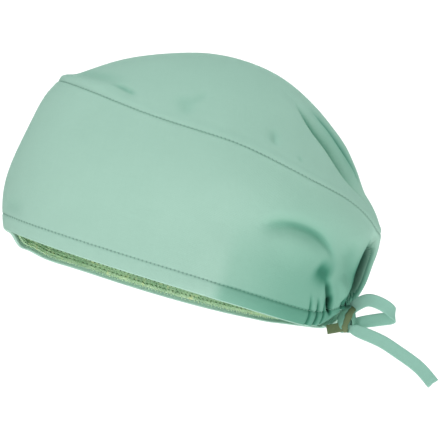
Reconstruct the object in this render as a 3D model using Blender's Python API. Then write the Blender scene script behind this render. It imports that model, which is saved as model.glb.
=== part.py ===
"""Tie-back cloth cap, held up in the form that it has on a head.

Metres, +Z up, -Y is the front and +X the wearer's left. The origin is the middle of the head opening.
The cap is one smooth form, a loft of egg-shaped rings that lean with the rim. Every wall of cloth is
cut from that form between two levels and two depths, and the folds push all walls in or out together.
"""

import math
from collections import namedtuple

import bmesh
import bpy
import numpy as np

# Overall sizes
CAP_LENGTH = 0.246
CAP_WIDTH = 0.169
CROWN_RISE = 0.1445

# Cloth
CLOTH = 0.0012
HEM_CLOTH = 0.0022
HEM_HEIGHT = 0.0105
TOWEL = 0.0016
SWEATBAND_HEIGHT = 0.030
SWEATBAND_LIFT = 0.0020
SWEATBAND_END_DEGREES = 42
SWEATBAND_GAP = 0.0005
GAP = 0.0003

# Tie, a folded tape
TAPE_WIDTH = 0.0083
TAPE_THICKNESS = 0.0011
STUB_WIDTH = 0.0050
KNOT_SIZE = (0.0090, 0.0094, 0.0150)
KNOT_STRANDS = 3
KNOT_STRAND_DEPTH = 0.10
KNOT_LEAN_DEGREES = 20
KNOT_SEAT_DEGREES = 2
KNOT_OFFSET = (0.0005, -0.0008, -0.0041)

# Mesh of the walls
COLUMNS = 84
BACK_CROWDING = 0.45
BAND_ROWS = 14
CROWN_ROWS = 9
SWEATBAND_ROWS = 3

# Rings of the cap from the rim, level 0, to the top, level 1. Each ring runs from its front to its back.
# Lengths along Y are shares of CAP_LENGTH, heights of CROWN_RISE and half widths of half of CAP_WIDTH.
# A blunt of 2 is an ellipse, more is squarer and less is more pointed.
Ring = namedtuple("Ring", "level front front_rise back back_rise half_width blunt_front blunt_back")
RINGS = (
    Ring(0.00, -0.449, 0.204, 0.447, -0.197, 0.852, 2.60, 2.00),
    Ring(0.08, -0.453, 0.284, 0.488, -0.111, 0.888, 2.60, 2.05),
    Ring(0.22, -0.445, 0.415, 0.526, 0.035, 0.947, 2.60, 2.10),
    Ring(0.38, -0.413, 0.561, 0.547, 0.173, 1.000, 2.50, 2.20),
    Ring(0.52, -0.372, 0.706, 0.524, 0.304, 1.000, 2.40, 2.20),
    Ring(0.66, -0.313, 0.858, 0.488, 0.415, 0.935, 2.30, 2.20),
    Ring(0.76, -0.246, 0.910, 0.443, 0.595, 0.817, 2.20, 2.10),
    Ring(0.86, -0.169, 0.955, 0.354, 0.789, 0.627, 2.10, 2.10),
    Ring(0.95, -0.057, 0.990, 0.203, 0.952, 0.296, 2.00, 2.00),
    Ring(1.00, 0.057, 1.000, 0.057, 1.000, 0.000, 2.00, 2.00),
)

# How far the rim hangs below a straight line from its front, way 0, to its back, way 1. The back of the
# left side is drawn lower by the tie, and the front of the right side hangs lower. Drops are shares of
# CROWN_RISE, and fade out at RIM_FADE_LEVEL.
RimDrop = namedtuple("RimDrop", "way left right")
RIM_DROPS = (
    RimDrop(0.000, 0.004, 0.004),
    RimDrop(0.005, 0.002, 0.032),
    RimDrop(0.020, 0.006, 0.051),
    RimDrop(0.050, 0.018, 0.060),
    RimDrop(0.120, 0.037, 0.070),
    RimDrop(0.250, 0.060, 0.080),
    RimDrop(0.500, 0.089, 0.096),
    RimDrop(0.750, 0.107, 0.088),
    RimDrop(0.880, 0.112, 0.073),
    RimDrop(0.960, 0.073, 0.045),
    RimDrop(1.000, 0.000, 0.000),
)
RIM_FADE_LEVEL = 0.45

# Level of the seam between side band and crown, by degrees from the centre back.
SeamPoint = namedtuple("SeamPoint", "degrees level")
SEAM = (
    SeamPoint(0, 0.370),
    SeamPoint(15, 0.418),
    SeamPoint(30, 0.476),
    SeamPoint(45, 0.514),
    SeamPoint(60, 0.568),
    SeamPoint(75, 0.604),
    SeamPoint(90, 0.610),
    SeamPoint(120, 0.640),
    SeamPoint(150, 0.665),
    SeamPoint(180, 0.676),
)

# Dents and folds. A route is a row of (degrees from the centre back, level), and degrees below 0 are the
# right side. Spread and rise are shares of CAP_WIDTH, a rise below 0 is a dent, and lean makes one flank
# steeper. A fold fades in over the first and out over the last share of its route that is given.
Fold = namedtuple("Fold", "name spread rise lean fade_in fade_out route")
FOLDS = (
    Fold("back valley", 0.050, -0.100, 0.0, 0.35, 0.25, ((2, 0.40), (3, 0.30), (2, 0.18), (1, 0.09), (1, 0.02))),
    Fold("notch by the knot", 0.032, -0.0080, 0.0, 0.4, 0.1, ((2, 0.12), (2, 0.04), (2, -0.08))),
    Fold("lobe right of the valley", 0.060, 0.018, 0.0, 0.4, 0.3, ((-12, 0.36), (-14, 0.22), (-12, 0.08))),
    Fold("long crown valley", 0.026, -0.030, 0.0, 0.3, 0.2,
         ((36, 0.88), (33, 0.774), (27, 0.726), (20, 0.661), (14, 0.60), (4, 0.54), (-8, 0.50))),
    Fold("crown bulge behind the valley", 0.080, 0.012, 0.0, 0.4, 0.4, ((10, 0.80), (4, 0.70), (-4, 0.60))),
    Fold("front crown ridge", 0.040, 0.014, 0.3, 0.1, 0.4, ((168, 0.705), (133, 0.690), (108, 0.686))),
    Fold("crown dimple", 0.030, -0.014, 0.0, 0.4, 0.4, ((97, 0.745), (94, 0.70), (92, 0.655))),
    Fold("crown tuck", 0.026, -0.010, 0.0, 0.4, 0.4, ((57, 0.72), (59, 0.645))),
    Fold("arc crease", 0.034, -0.018, 0.4, 0.3, 0.3,
         ((66, 0.225), (61, 0.271), (54, 0.290), (47, 0.284), (41, 0.262), (34, 0.215))),
    Fold("bulge under the arc", 0.080, 0.018, 0.0, 0.4, 0.4, ((60, 0.20), (50, 0.225), (42, 0.19))),
    Fold("edge of the gathered back", 0.050, 0.006, 0.6, 0.4, 0.1, ((75, 0.24), (74, 0.12), (68, -0.02))),
    Fold("shade by the back", 0.050, -0.012, 0.0, 0.4, 0.3, ((28, 0.30), (22, 0.20), (17, 0.10))),
    Fold("dent over the front hem", 0.030, -0.006, 0.0, 0.4, 0.4, ((160, 0.12), (138, 0.118))),
    Fold("right arc crease", 0.034, -0.016, -0.4, 0.3, 0.3, ((-70, 0.20), (-60, 0.255), (-48, 0.27), (-38, 0.23))),
    Fold("right crown tuck", 0.028, -0.012, 0.0, 0.4, 0.4, ((-84, 0.74), (-80, 0.65))),
    Fold("right shade by the back", 0.050, -0.012, 0.0, 0.4, 0.3, ((-34, 0.28), (-26, 0.18), (-22, 0.10))),
    Fold("right gathered edge", 0.050, 0.006, -0.6, 0.4, 0.1, ((-72, 0.22), (-66, 0.10), (-62, -0.02))),
)
FOLD_STEPS = 60
HEIGHT_PASSES = 3
SHARP_DEGREES = 60

# Routes of the tie from the knot's centre, chosen by hand. A tape's width stands upright across its route.
BOW_ROUTE = (
    (0.0012, 0.0041, 0.0066),
    (0.0020, 0.0067, 0.0090),
    (0.0030, 0.0126, 0.0117),
    (0.0036, 0.0185, 0.0112),
    (0.0034, 0.0242, 0.0086),
    (0.0025, 0.0283, 0.0057),
    (0.0004, 0.0306, 0.0033),
    (-0.0024, 0.0308, 0.0019),
    (-0.0048, 0.0279, 0.0009),
    (-0.0054, 0.0221, 0.0003),
    (-0.0048, 0.0150, -0.0006),
    (-0.0036, 0.0090, -0.0015),
    (-0.0030, 0.0046, -0.0023),
)
FREE_END_ROUTE = (
    (0.0017, 0.0034, -0.0062),
    (0.0022, 0.0066, -0.0074),
    (0.0030, 0.0125, -0.0099),
    (0.0040, 0.0229, -0.0147),
    (0.0045, 0.0325, -0.0210),
    (0.0045, 0.0427, -0.0283),
    (0.0040, 0.0497, -0.0347),
    (0.0030, 0.0559, -0.0424),
)
SHORT_END_ROUTE = (
    (0.0038, -0.0027, -0.0056),
    (0.0056, -0.0080, -0.0068),
    (0.0062, -0.0121, -0.0075),
)
ROUTE_STEPS = 2

# Colours: name, linear red, green and blue, roughness
MINT = ("mint_cloth", (0.36, 0.60, 0.49), 0.92)
OLIVE = ("olive_cloth", (0.28, 0.34, 0.16), 0.92)
TOWELLING = ("green_towelling", (0.42, 0.55, 0.30), 0.97)


def clear_scene():
    for obj in list(bpy.data.objects):
        bpy.data.objects.remove(obj)


def material(name, colour, roughness):
    made = bpy.data.materials.new(name)
    made.use_nodes = True
    shader = made.node_tree.nodes["Principled BSDF"]
    shader.inputs["Base Color"].default_value = (*colour, 1.0)
    shader.inputs["Roughness"].default_value = roughness
    shader.inputs["Metallic"].default_value = 0.0
    return made


def smooth_through(knots, values, at, start_slope=None, end_slope=None):
    """Values at the given places on a cubic spline through the knots. An end slope of None is free."""
    x, y = np.asarray(knots, float), np.asarray(values, float)
    count, step = len(x), np.diff(x)
    slope = np.diff(y) / step
    matrix, right = np.zeros((count, count)), np.zeros(count)
    matrix[0, 0] = matrix[-1, -1] = 1.0
    for i in range(1, count - 1):
        matrix[i, i - 1 : i + 2] = step[i - 1], 2 * (step[i - 1] + step[i]), step[i]
        right[i] = 6 * (slope[i] - slope[i - 1])
    if start_slope is not None:
        matrix[0, :2] = 2 * step[0], step[0]
        right[0] = 6 * (slope[0] - start_slope)
    if end_slope is not None:
        matrix[-1, -2:] = step[-1], 2 * step[-1]
        right[-1] = 6 * (end_slope - slope[-1])
    bend = np.linalg.solve(matrix, right)
    at = np.asarray(at, float)
    i = np.clip(np.searchsorted(x, at) - 1, 0, count - 2)
    after, before = at - x[i], x[i + 1] - at
    cubic = (bend[i] * before**3 + bend[i + 1] * after**3) / (6 * step[i])
    straight = (y[i] / step[i] - bend[i] * step[i] / 6) * before
    return cubic + straight + (y[i + 1] / step[i] - bend[i + 1] * step[i] / 6) * after


def ring_value(column, level, end_slope=None):
    return smooth_through([ring.level for ring in RINGS], [getattr(ring, column) for ring in RINGS], level,
                          end_slope=end_slope)


def rim_drop(way, angle, level):
    ways = [drop.way for drop in RIM_DROPS]
    left = smooth_through(ways, [drop.left for drop in RIM_DROPS], way)
    right = smooth_through(ways, [drop.right for drop in RIM_DROPS], way)
    fade = np.clip(1 - level / RIM_FADE_LEVEL, 0, 1.2) ** 2
    return np.where(np.sin(angle) >= 0, left, right) * CROWN_RISE * fade


def smooth_form(angle, level):
    """Points of the cap without its folds. The angle runs from the centre back through the left side."""
    angle, level = np.broadcast_arrays(np.asarray(angle, float), np.asarray(level, float))
    front, back = (ring_value(side, level) * CAP_LENGTH for side in ("front", "back"))
    front_rise, back_rise = (ring_value(side, level, 0.0) * CROWN_RISE for side in ("front_rise", "back_rise"))
    half_width = np.maximum(ring_value("half_width", level), 0) * CAP_WIDTH / 2
    towards_back = (1 + np.cos(angle)) / 2
    blunt_front, blunt_back = ring_value("blunt_front", level), ring_value("blunt_back", level)
    power = 2 / (blunt_front + (blunt_back - blunt_front) * towards_back)
    across = np.sign(np.sin(angle)) * np.abs(np.sin(angle)) ** power
    along = np.sign(np.cos(angle)) * np.abs(np.cos(angle)) ** power
    way = (1 + along) / 2
    x = half_width * across
    y = front + (back - front) * way
    z = front_rise + (back_rise - front_rise) * way - rim_drop(way, angle, level)
    return np.stack([x, y, z], -1)


def unit(vectors):
    return vectors / np.maximum(np.linalg.norm(vectors, axis=-1, keepdims=True), 1e-12)


def outward(angle, level):
    """Unit vectors out of the smooth form. Close to the top, where the rings shrink, they turn upright."""
    turn, rise, top = 0.02, 0.002, 0.96
    below_top = np.minimum(level, 0.99)
    along = smooth_form(angle + turn, below_top) - smooth_form(angle - turn, below_top)
    up = smooth_form(angle, below_top + rise) - smooth_form(angle, below_top - rise)
    upright = np.clip((level - top) / (1 - top), 0, 1)[..., None]
    return unit(unit(np.cross(up, along)) * (1 - upright) + np.array([0.0, 0.0, 1.0]) * upright)


def fold_height(points, normals, fold):
    """How far one fold moves each point along its normal."""
    degrees, levels = np.array(fold.route, float).T
    knots = np.linspace(0, 1, len(degrees))
    share = np.linspace(0, 1, FOLD_STEPS)
    route = smooth_form(np.radians(smooth_through(knots, degrees, share)), smooth_through(knots, levels, share))
    away = points[..., None, :] - route
    nearest = np.linalg.norm(away, axis=-1).argmin(-1)
    offset = np.take_along_axis(away, nearest[..., None, None], -2)[..., 0, :]
    direction = unit(np.gradient(route, axis=0))[nearest]
    side = (np.cross(direction, normals) * offset).sum(-1) / (fold.spread * CAP_WIDTH)
    distance = np.linalg.norm(offset, axis=-1) / (fold.spread * CAP_WIDTH)
    ends = np.clip(share / fold.fade_in, 0, 1) * np.clip((1 - share) / fold.fade_out, 0, 1)
    ends = ends * ends * (3 - 2 * ends)
    return fold.rise * CAP_WIDTH * np.exp(-(distance**2)) * (1 + fold.lean * side) * ends[nearest]


def cap_points(angle, level, depth):
    """Points at a depth inside the folded outer face."""
    smooth, normals = smooth_form(angle, level), outward(angle, level)
    raised = sum(fold_height(smooth, normals, fold) for fold in FOLDS)
    return smooth + normals * (raised - depth)[..., None]


def seam_level(angle):
    turned = np.abs((np.degrees(angle) + 180) % 360 - 180)
    return smooth_through([p.degrees for p in SEAM], [p.level for p in SEAM], turned, 0.0, 0.0)


def level_step(angle, level, length):
    """Change of level that covers this length up the cap."""
    rise = 0.002
    per_level = np.linalg.norm(smooth_form(angle, level + rise) - smooth_form(angle, level - rise), axis=-1)
    return length * 2 * rise / per_level


def level_at_height(angle, height):
    """Level at this height up the cloth from the rim."""
    level = level_step(angle, np.zeros(angle.shape), height)
    for _ in range(HEIGHT_PASSES):
        level = level_step(angle, level / 2, height)
    return level


def ring_angles(count):
    """Angles all the way round, closer together at the back, where the folds are."""
    turn = np.arange(count) / count * 2 * math.pi
    return turn - BACK_CROWDING * np.sin(turn)


def wall(name, outer, inner, closed_ring, look):
    """Solid wall between two grids of points. Each grid's rows go up, and its columns go round."""
    rows, columns = outer.shape[:2]
    mesh_builder = bmesh.new()
    skins = [[[mesh_builder.verts.new(point) for point in row] for row in grid] for grid in (outer, inner)]
    out, within = skins
    last = columns if closed_ring else columns - 1
    for j in range(last):
        k = (j + 1) % columns
        for i in range(rows - 1):
            mesh_builder.faces.new((out[i][j], out[i + 1][j], out[i + 1][k], out[i][k]))
            mesh_builder.faces.new((within[i][j], within[i][k], within[i + 1][k], within[i + 1][j]))
        mesh_builder.faces.new((out[0][j], out[0][k], within[0][k], within[0][j]))
        mesh_builder.faces.new((out[-1][j], within[-1][j], within[-1][k], out[-1][k]))
    if not closed_ring:
        for i in range(rows - 1):
            mesh_builder.faces.new((out[i][0], within[i][0], within[i + 1][0], out[i + 1][0]))
            mesh_builder.faces.new((out[i][-1], out[i + 1][-1], within[i + 1][-1], within[i][-1]))
    bmesh.ops.triangulate(mesh_builder, faces=mesh_builder.faces)
    return finish_mesh(name, mesh_builder, look)


def finish_mesh(name, mesh_builder, look):
    bmesh.ops.recalc_face_normals(mesh_builder, faces=mesh_builder.faces)
    mesh = bpy.data.meshes.new(name)
    mesh_builder.to_mesh(mesh)
    mesh_builder.free()
    mesh.shade_smooth()
    mesh.set_sharp_from_angle(angle=math.radians(SHARP_DEGREES))
    mesh.materials.append(look)
    obj = bpy.data.objects.new(name, mesh)
    bpy.context.scene.collection.objects.link(obj)
    return obj


def build_side_band(look):
    """Band from the rim to the seam. The hem is double cloth, thickened on its inner side."""
    angle = ring_angles(COLUMNS)
    hem = level_at_height(angle, HEM_HEIGHT)
    top = seam_level(angle) - level_step(angle, seam_level(angle), GAP / 2)
    share = np.linspace(0, 1, BAND_ROWS - 1)[:, None]
    level = np.concatenate([np.zeros((1, COLUMNS)), hem + (top - hem) * share])
    angles = np.broadcast_to(angle, level.shape)
    depth = np.full(level.shape, CLOTH)
    depth[:2] = HEM_CLOTH
    return wall("side_band", cap_points(angles, level, np.zeros(level.shape)), cap_points(angles, level, depth),
                True, look)


def build_crown_panel(look):
    """Dome from the seam to the top, where the rows close to one point."""
    angle = ring_angles(COLUMNS)
    start = seam_level(angle) + level_step(angle, seam_level(angle), GAP / 2)
    share = np.linspace(0, 1, CROWN_ROWS)[:-1, None]
    level = start + (1 - start) * share
    angles = np.broadcast_to(angle, level.shape)
    outer, inner = (cap_points(angles, level, np.full(level.shape, depth)) for depth in (0.0, CLOTH))
    tops = [cap_points(np.zeros(1), np.ones(1), np.full(1, depth))[0] for depth in (0.0, CLOTH)]
    mesh_builder = bmesh.new()
    out, within = ([[mesh_builder.verts.new(point) for point in row] for row in grid] for grid in (outer, inner))
    out_top, in_top = (mesh_builder.verts.new(point) for point in tops)
    for j in range(COLUMNS):
        k = (j + 1) % COLUMNS
        for i in range(len(out) - 1):
            mesh_builder.faces.new((out[i][j], out[i + 1][j], out[i + 1][k], out[i][k]))
            mesh_builder.faces.new((within[i][j], within[i][k], within[i + 1][k], within[i + 1][j]))
        mesh_builder.faces.new((out[0][j], out[0][k], within[0][k], within[0][j]))
        mesh_builder.faces.new((out[-1][j], out_top, out[-1][k]))
        mesh_builder.faces.new((within[-1][j], within[-1][k], in_top))
    bmesh.ops.triangulate(mesh_builder, faces=mesh_builder.faces)
    return finish_mesh("crown_panel", mesh_builder, look)


def build_sweatband(look):
    """Towelling strip inside the hem, round the front from one end by the gathers to the other."""
    end = math.radians(SWEATBAND_END_DEGREES)
    angle = ring_angles(COLUMNS)
    angle = angle[(angle > end) & (angle < 2 * math.pi - end)]
    low = level_at_height(angle, SWEATBAND_LIFT)
    high = level_at_height(angle, SWEATBAND_LIFT + SWEATBAND_HEIGHT)
    share = np.linspace(0, 1, SWEATBAND_ROWS)[:, None]
    level = low + (high - low) * share
    angles = np.broadcast_to(angle, level.shape)
    near = np.full(level.shape, HEM_CLOTH + SWEATBAND_GAP)
    return wall("sweatband", cap_points(angles, level, near), cap_points(angles, level, near + TOWEL), False, look)


def knot_centre():
    """The knot sits close behind and below the rim at the centre back, where the tie draws it in."""
    seat = cap_points(np.full(1, math.radians(KNOT_SEAT_DEGREES)), np.zeros(1), np.zeros(1))[0]
    reach = KNOT_SIZE[1] / 2 * (1 + KNOT_STRAND_DEPTH)
    return seat + np.array(KNOT_OFFSET) + np.array([0.0, reach, 0.0])


def build_tie_knot(centre, look):
    """Small wrapped knot: a round lump whose strands stand out in slanted rings."""
    mesh_builder = bmesh.new()
    bmesh.ops.create_uvsphere(mesh_builder, u_segments=16, v_segments=12, radius=0.5)
    lean = math.radians(KNOT_LEAN_DEGREES)
    for vert in mesh_builder.verts:
        x, y, z = vert.co
        wrapped = z * math.cos(lean) + y * math.sin(lean)
        swell = 1 + KNOT_STRAND_DEPTH * math.cos(2 * math.pi * KNOT_STRANDS * wrapped)
        vert.co = [middle + part * size * swell for middle, part, size in zip(centre, (x, y, z), KNOT_SIZE)]
    return finish_mesh("tie_knot", mesh_builder, look)


def build_tape(name, centre, route, width, look):
    """Flat tape along a smooth curve through the route's points, with its width upright."""
    knots = np.arange(len(route))
    at = np.linspace(0, len(route) - 1, (len(route) - 1) * ROUTE_STEPS + 1)
    points = centre + np.stack([smooth_through(knots, values, at) for values in np.array(route).T], -1)
    curve = bpy.data.curves.new(name, "CURVE")
    curve.dimensions = "3D"
    curve.twist_mode = "Z_UP"
    curve.bevel_depth = TAPE_THICKNESS / 2
    curve.bevel_resolution = 2
    curve.extrude = (width - TAPE_THICKNESS) / 2
    curve.use_fill_caps = True
    spline = curve.splines.new("POLY")
    spline.points.add(len(points) - 1)
    for spline_point, point in zip(spline.points, points):
        spline_point.co = (*point, 1.0)
    curve.materials.append(look)
    obj = bpy.data.objects.new(name, curve)
    bpy.context.scene.collection.objects.link(obj)
    return obj


def main():
    clear_scene()
    mint, olive, towelling = (material(*look) for look in (MINT, OLIVE, TOWELLING))
    build_side_band(mint)
    build_crown_panel(mint)
    build_sweatband(towelling)
    centre = knot_centre()
    build_tie_knot(centre, mint)
    build_tape("bow_loop", centre, BOW_ROUTE, TAPE_WIDTH, mint)
    build_tape("free_end", centre, FREE_END_ROUTE, TAPE_WIDTH, mint)
    build_tape("short_end", centre, SHORT_END_ROUTE, STUB_WIDTH, olive)


main()
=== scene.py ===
"""Looks of a tie-back cloth cap, held up in the form that it has on a head.

Metres, +Z up, -Y is the front and +X the wearer's left. The origin is the middle of the head opening.
"""

import logging
import math
from collections.abc import Sequence
from dataclasses import dataclass
from enum import Enum
from typing import Any, NamedTuple

import bmesh
import bpy
import numpy as np
from mathutils import Matrix, Vector


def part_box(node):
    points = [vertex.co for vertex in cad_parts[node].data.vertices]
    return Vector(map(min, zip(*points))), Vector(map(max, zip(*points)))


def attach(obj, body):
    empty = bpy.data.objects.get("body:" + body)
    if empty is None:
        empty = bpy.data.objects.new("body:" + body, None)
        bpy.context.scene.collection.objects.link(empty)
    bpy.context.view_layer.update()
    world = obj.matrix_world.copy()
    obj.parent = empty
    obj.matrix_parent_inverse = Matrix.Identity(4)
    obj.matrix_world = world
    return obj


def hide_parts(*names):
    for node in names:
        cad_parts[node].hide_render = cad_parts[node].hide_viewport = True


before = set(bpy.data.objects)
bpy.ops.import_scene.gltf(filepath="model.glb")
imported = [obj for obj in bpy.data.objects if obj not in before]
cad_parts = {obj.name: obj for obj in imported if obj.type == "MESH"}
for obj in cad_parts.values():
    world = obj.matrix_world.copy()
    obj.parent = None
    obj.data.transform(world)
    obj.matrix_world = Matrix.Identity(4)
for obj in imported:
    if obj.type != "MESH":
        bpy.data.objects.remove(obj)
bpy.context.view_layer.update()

log = logging.getLogger("cap")
Array = np.ndarray
Point = tuple[float, float, float]
Span = tuple[float, float]
Colour = tuple[float, float, float, float]

MM = 0.001
FAR = 1.0  # metres, further than any edge is


class Slot(Enum):
    """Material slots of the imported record."""

    MINT = "mint_cloth"
    TOWELLING = "green_towelling"
    OLIVE = "olive_cloth"


class Ring(NamedTuple):
    """One ring of the cap, in shares of the cap's length and height and of half its width."""

    level: float
    front: float
    front_rise: float
    back: float
    back_rise: float
    half_width: float
    blunt_front: float
    blunt_back: float


class RimDrop(NamedTuple):
    """How far the rim hangs below a straight line at this share of the way to the back, in shares of the rise."""

    way: float
    left: float
    right: float


class Fold(NamedTuple):
    """A ridge or dent along a route of (degrees from the centre back, level).

    Spread and rise are shares of the cap's width. The fades are the shares of the route over which the fold comes in
    and dies out. Tone is how much painted shade the cloth gets along it. Lean makes one flank steeper. Slant moves the
    fold's bottom sideways, so that one side hangs over it.
    """

    name: str
    spread: float
    rise: float
    fade_in: float
    fade_out: float
    route: tuple[Span, ...]
    # painted shade along the fold, blended into the cloth's colour
    tone: float = 0.0
    lean: float = 0.0
    slant: float = 0.0


RINGS = (
    Ring(0.00, -0.449, 0.204, 0.447, -0.197, 0.852, 2.60, 2.00),
    Ring(0.08, -0.453, 0.284, 0.488, -0.111, 0.888, 2.60, 2.05),
    Ring(0.22, -0.445, 0.415, 0.526, 0.035, 0.947, 2.60, 2.10),
    Ring(0.38, -0.413, 0.561, 0.547, 0.173, 1.000, 2.50, 2.20),
    Ring(0.52, -0.372, 0.706, 0.524, 0.304, 1.000, 2.40, 2.20),
    Ring(0.66, -0.313, 0.858, 0.488, 0.415, 0.935, 2.30, 2.20),
    Ring(0.76, -0.246, 0.910, 0.443, 0.595, 0.817, 2.20, 2.10),
    Ring(0.86, -0.169, 0.955, 0.354, 0.789, 0.627, 2.10, 2.10),
    Ring(0.95, -0.057, 0.990, 0.203, 0.952, 0.296, 2.00, 2.00),
    Ring(1.00, 0.057, 1.000, 0.057, 1.000, 0.000, 2.00, 2.00),
)
RIM_DROPS = (
    RimDrop(0.000, 0.004, 0.004),
    RimDrop(0.005, 0.002, 0.032),
    RimDrop(0.020, 0.006, 0.051),
    RimDrop(0.050, 0.018, 0.060),
    RimDrop(0.120, 0.037, 0.070),
    RimDrop(0.250, 0.060, 0.080),
    RimDrop(0.500, 0.089, 0.096),
    RimDrop(0.750, 0.107, 0.088),
    RimDrop(0.880, 0.112, 0.073),
    RimDrop(0.960, 0.073, 0.045),
    RimDrop(1.000, 0.000, 0.000),
)
SEAM = ((0, 0.370), (15, 0.418), (30, 0.476), (45, 0.514), (60, 0.568), (75, 0.604), (90, 0.610), (120, 0.640),
        (150, 0.665), (180, 0.676))

# Folds with a tone put painted shade along them; rows with no rise are painted shade alone.
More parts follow.
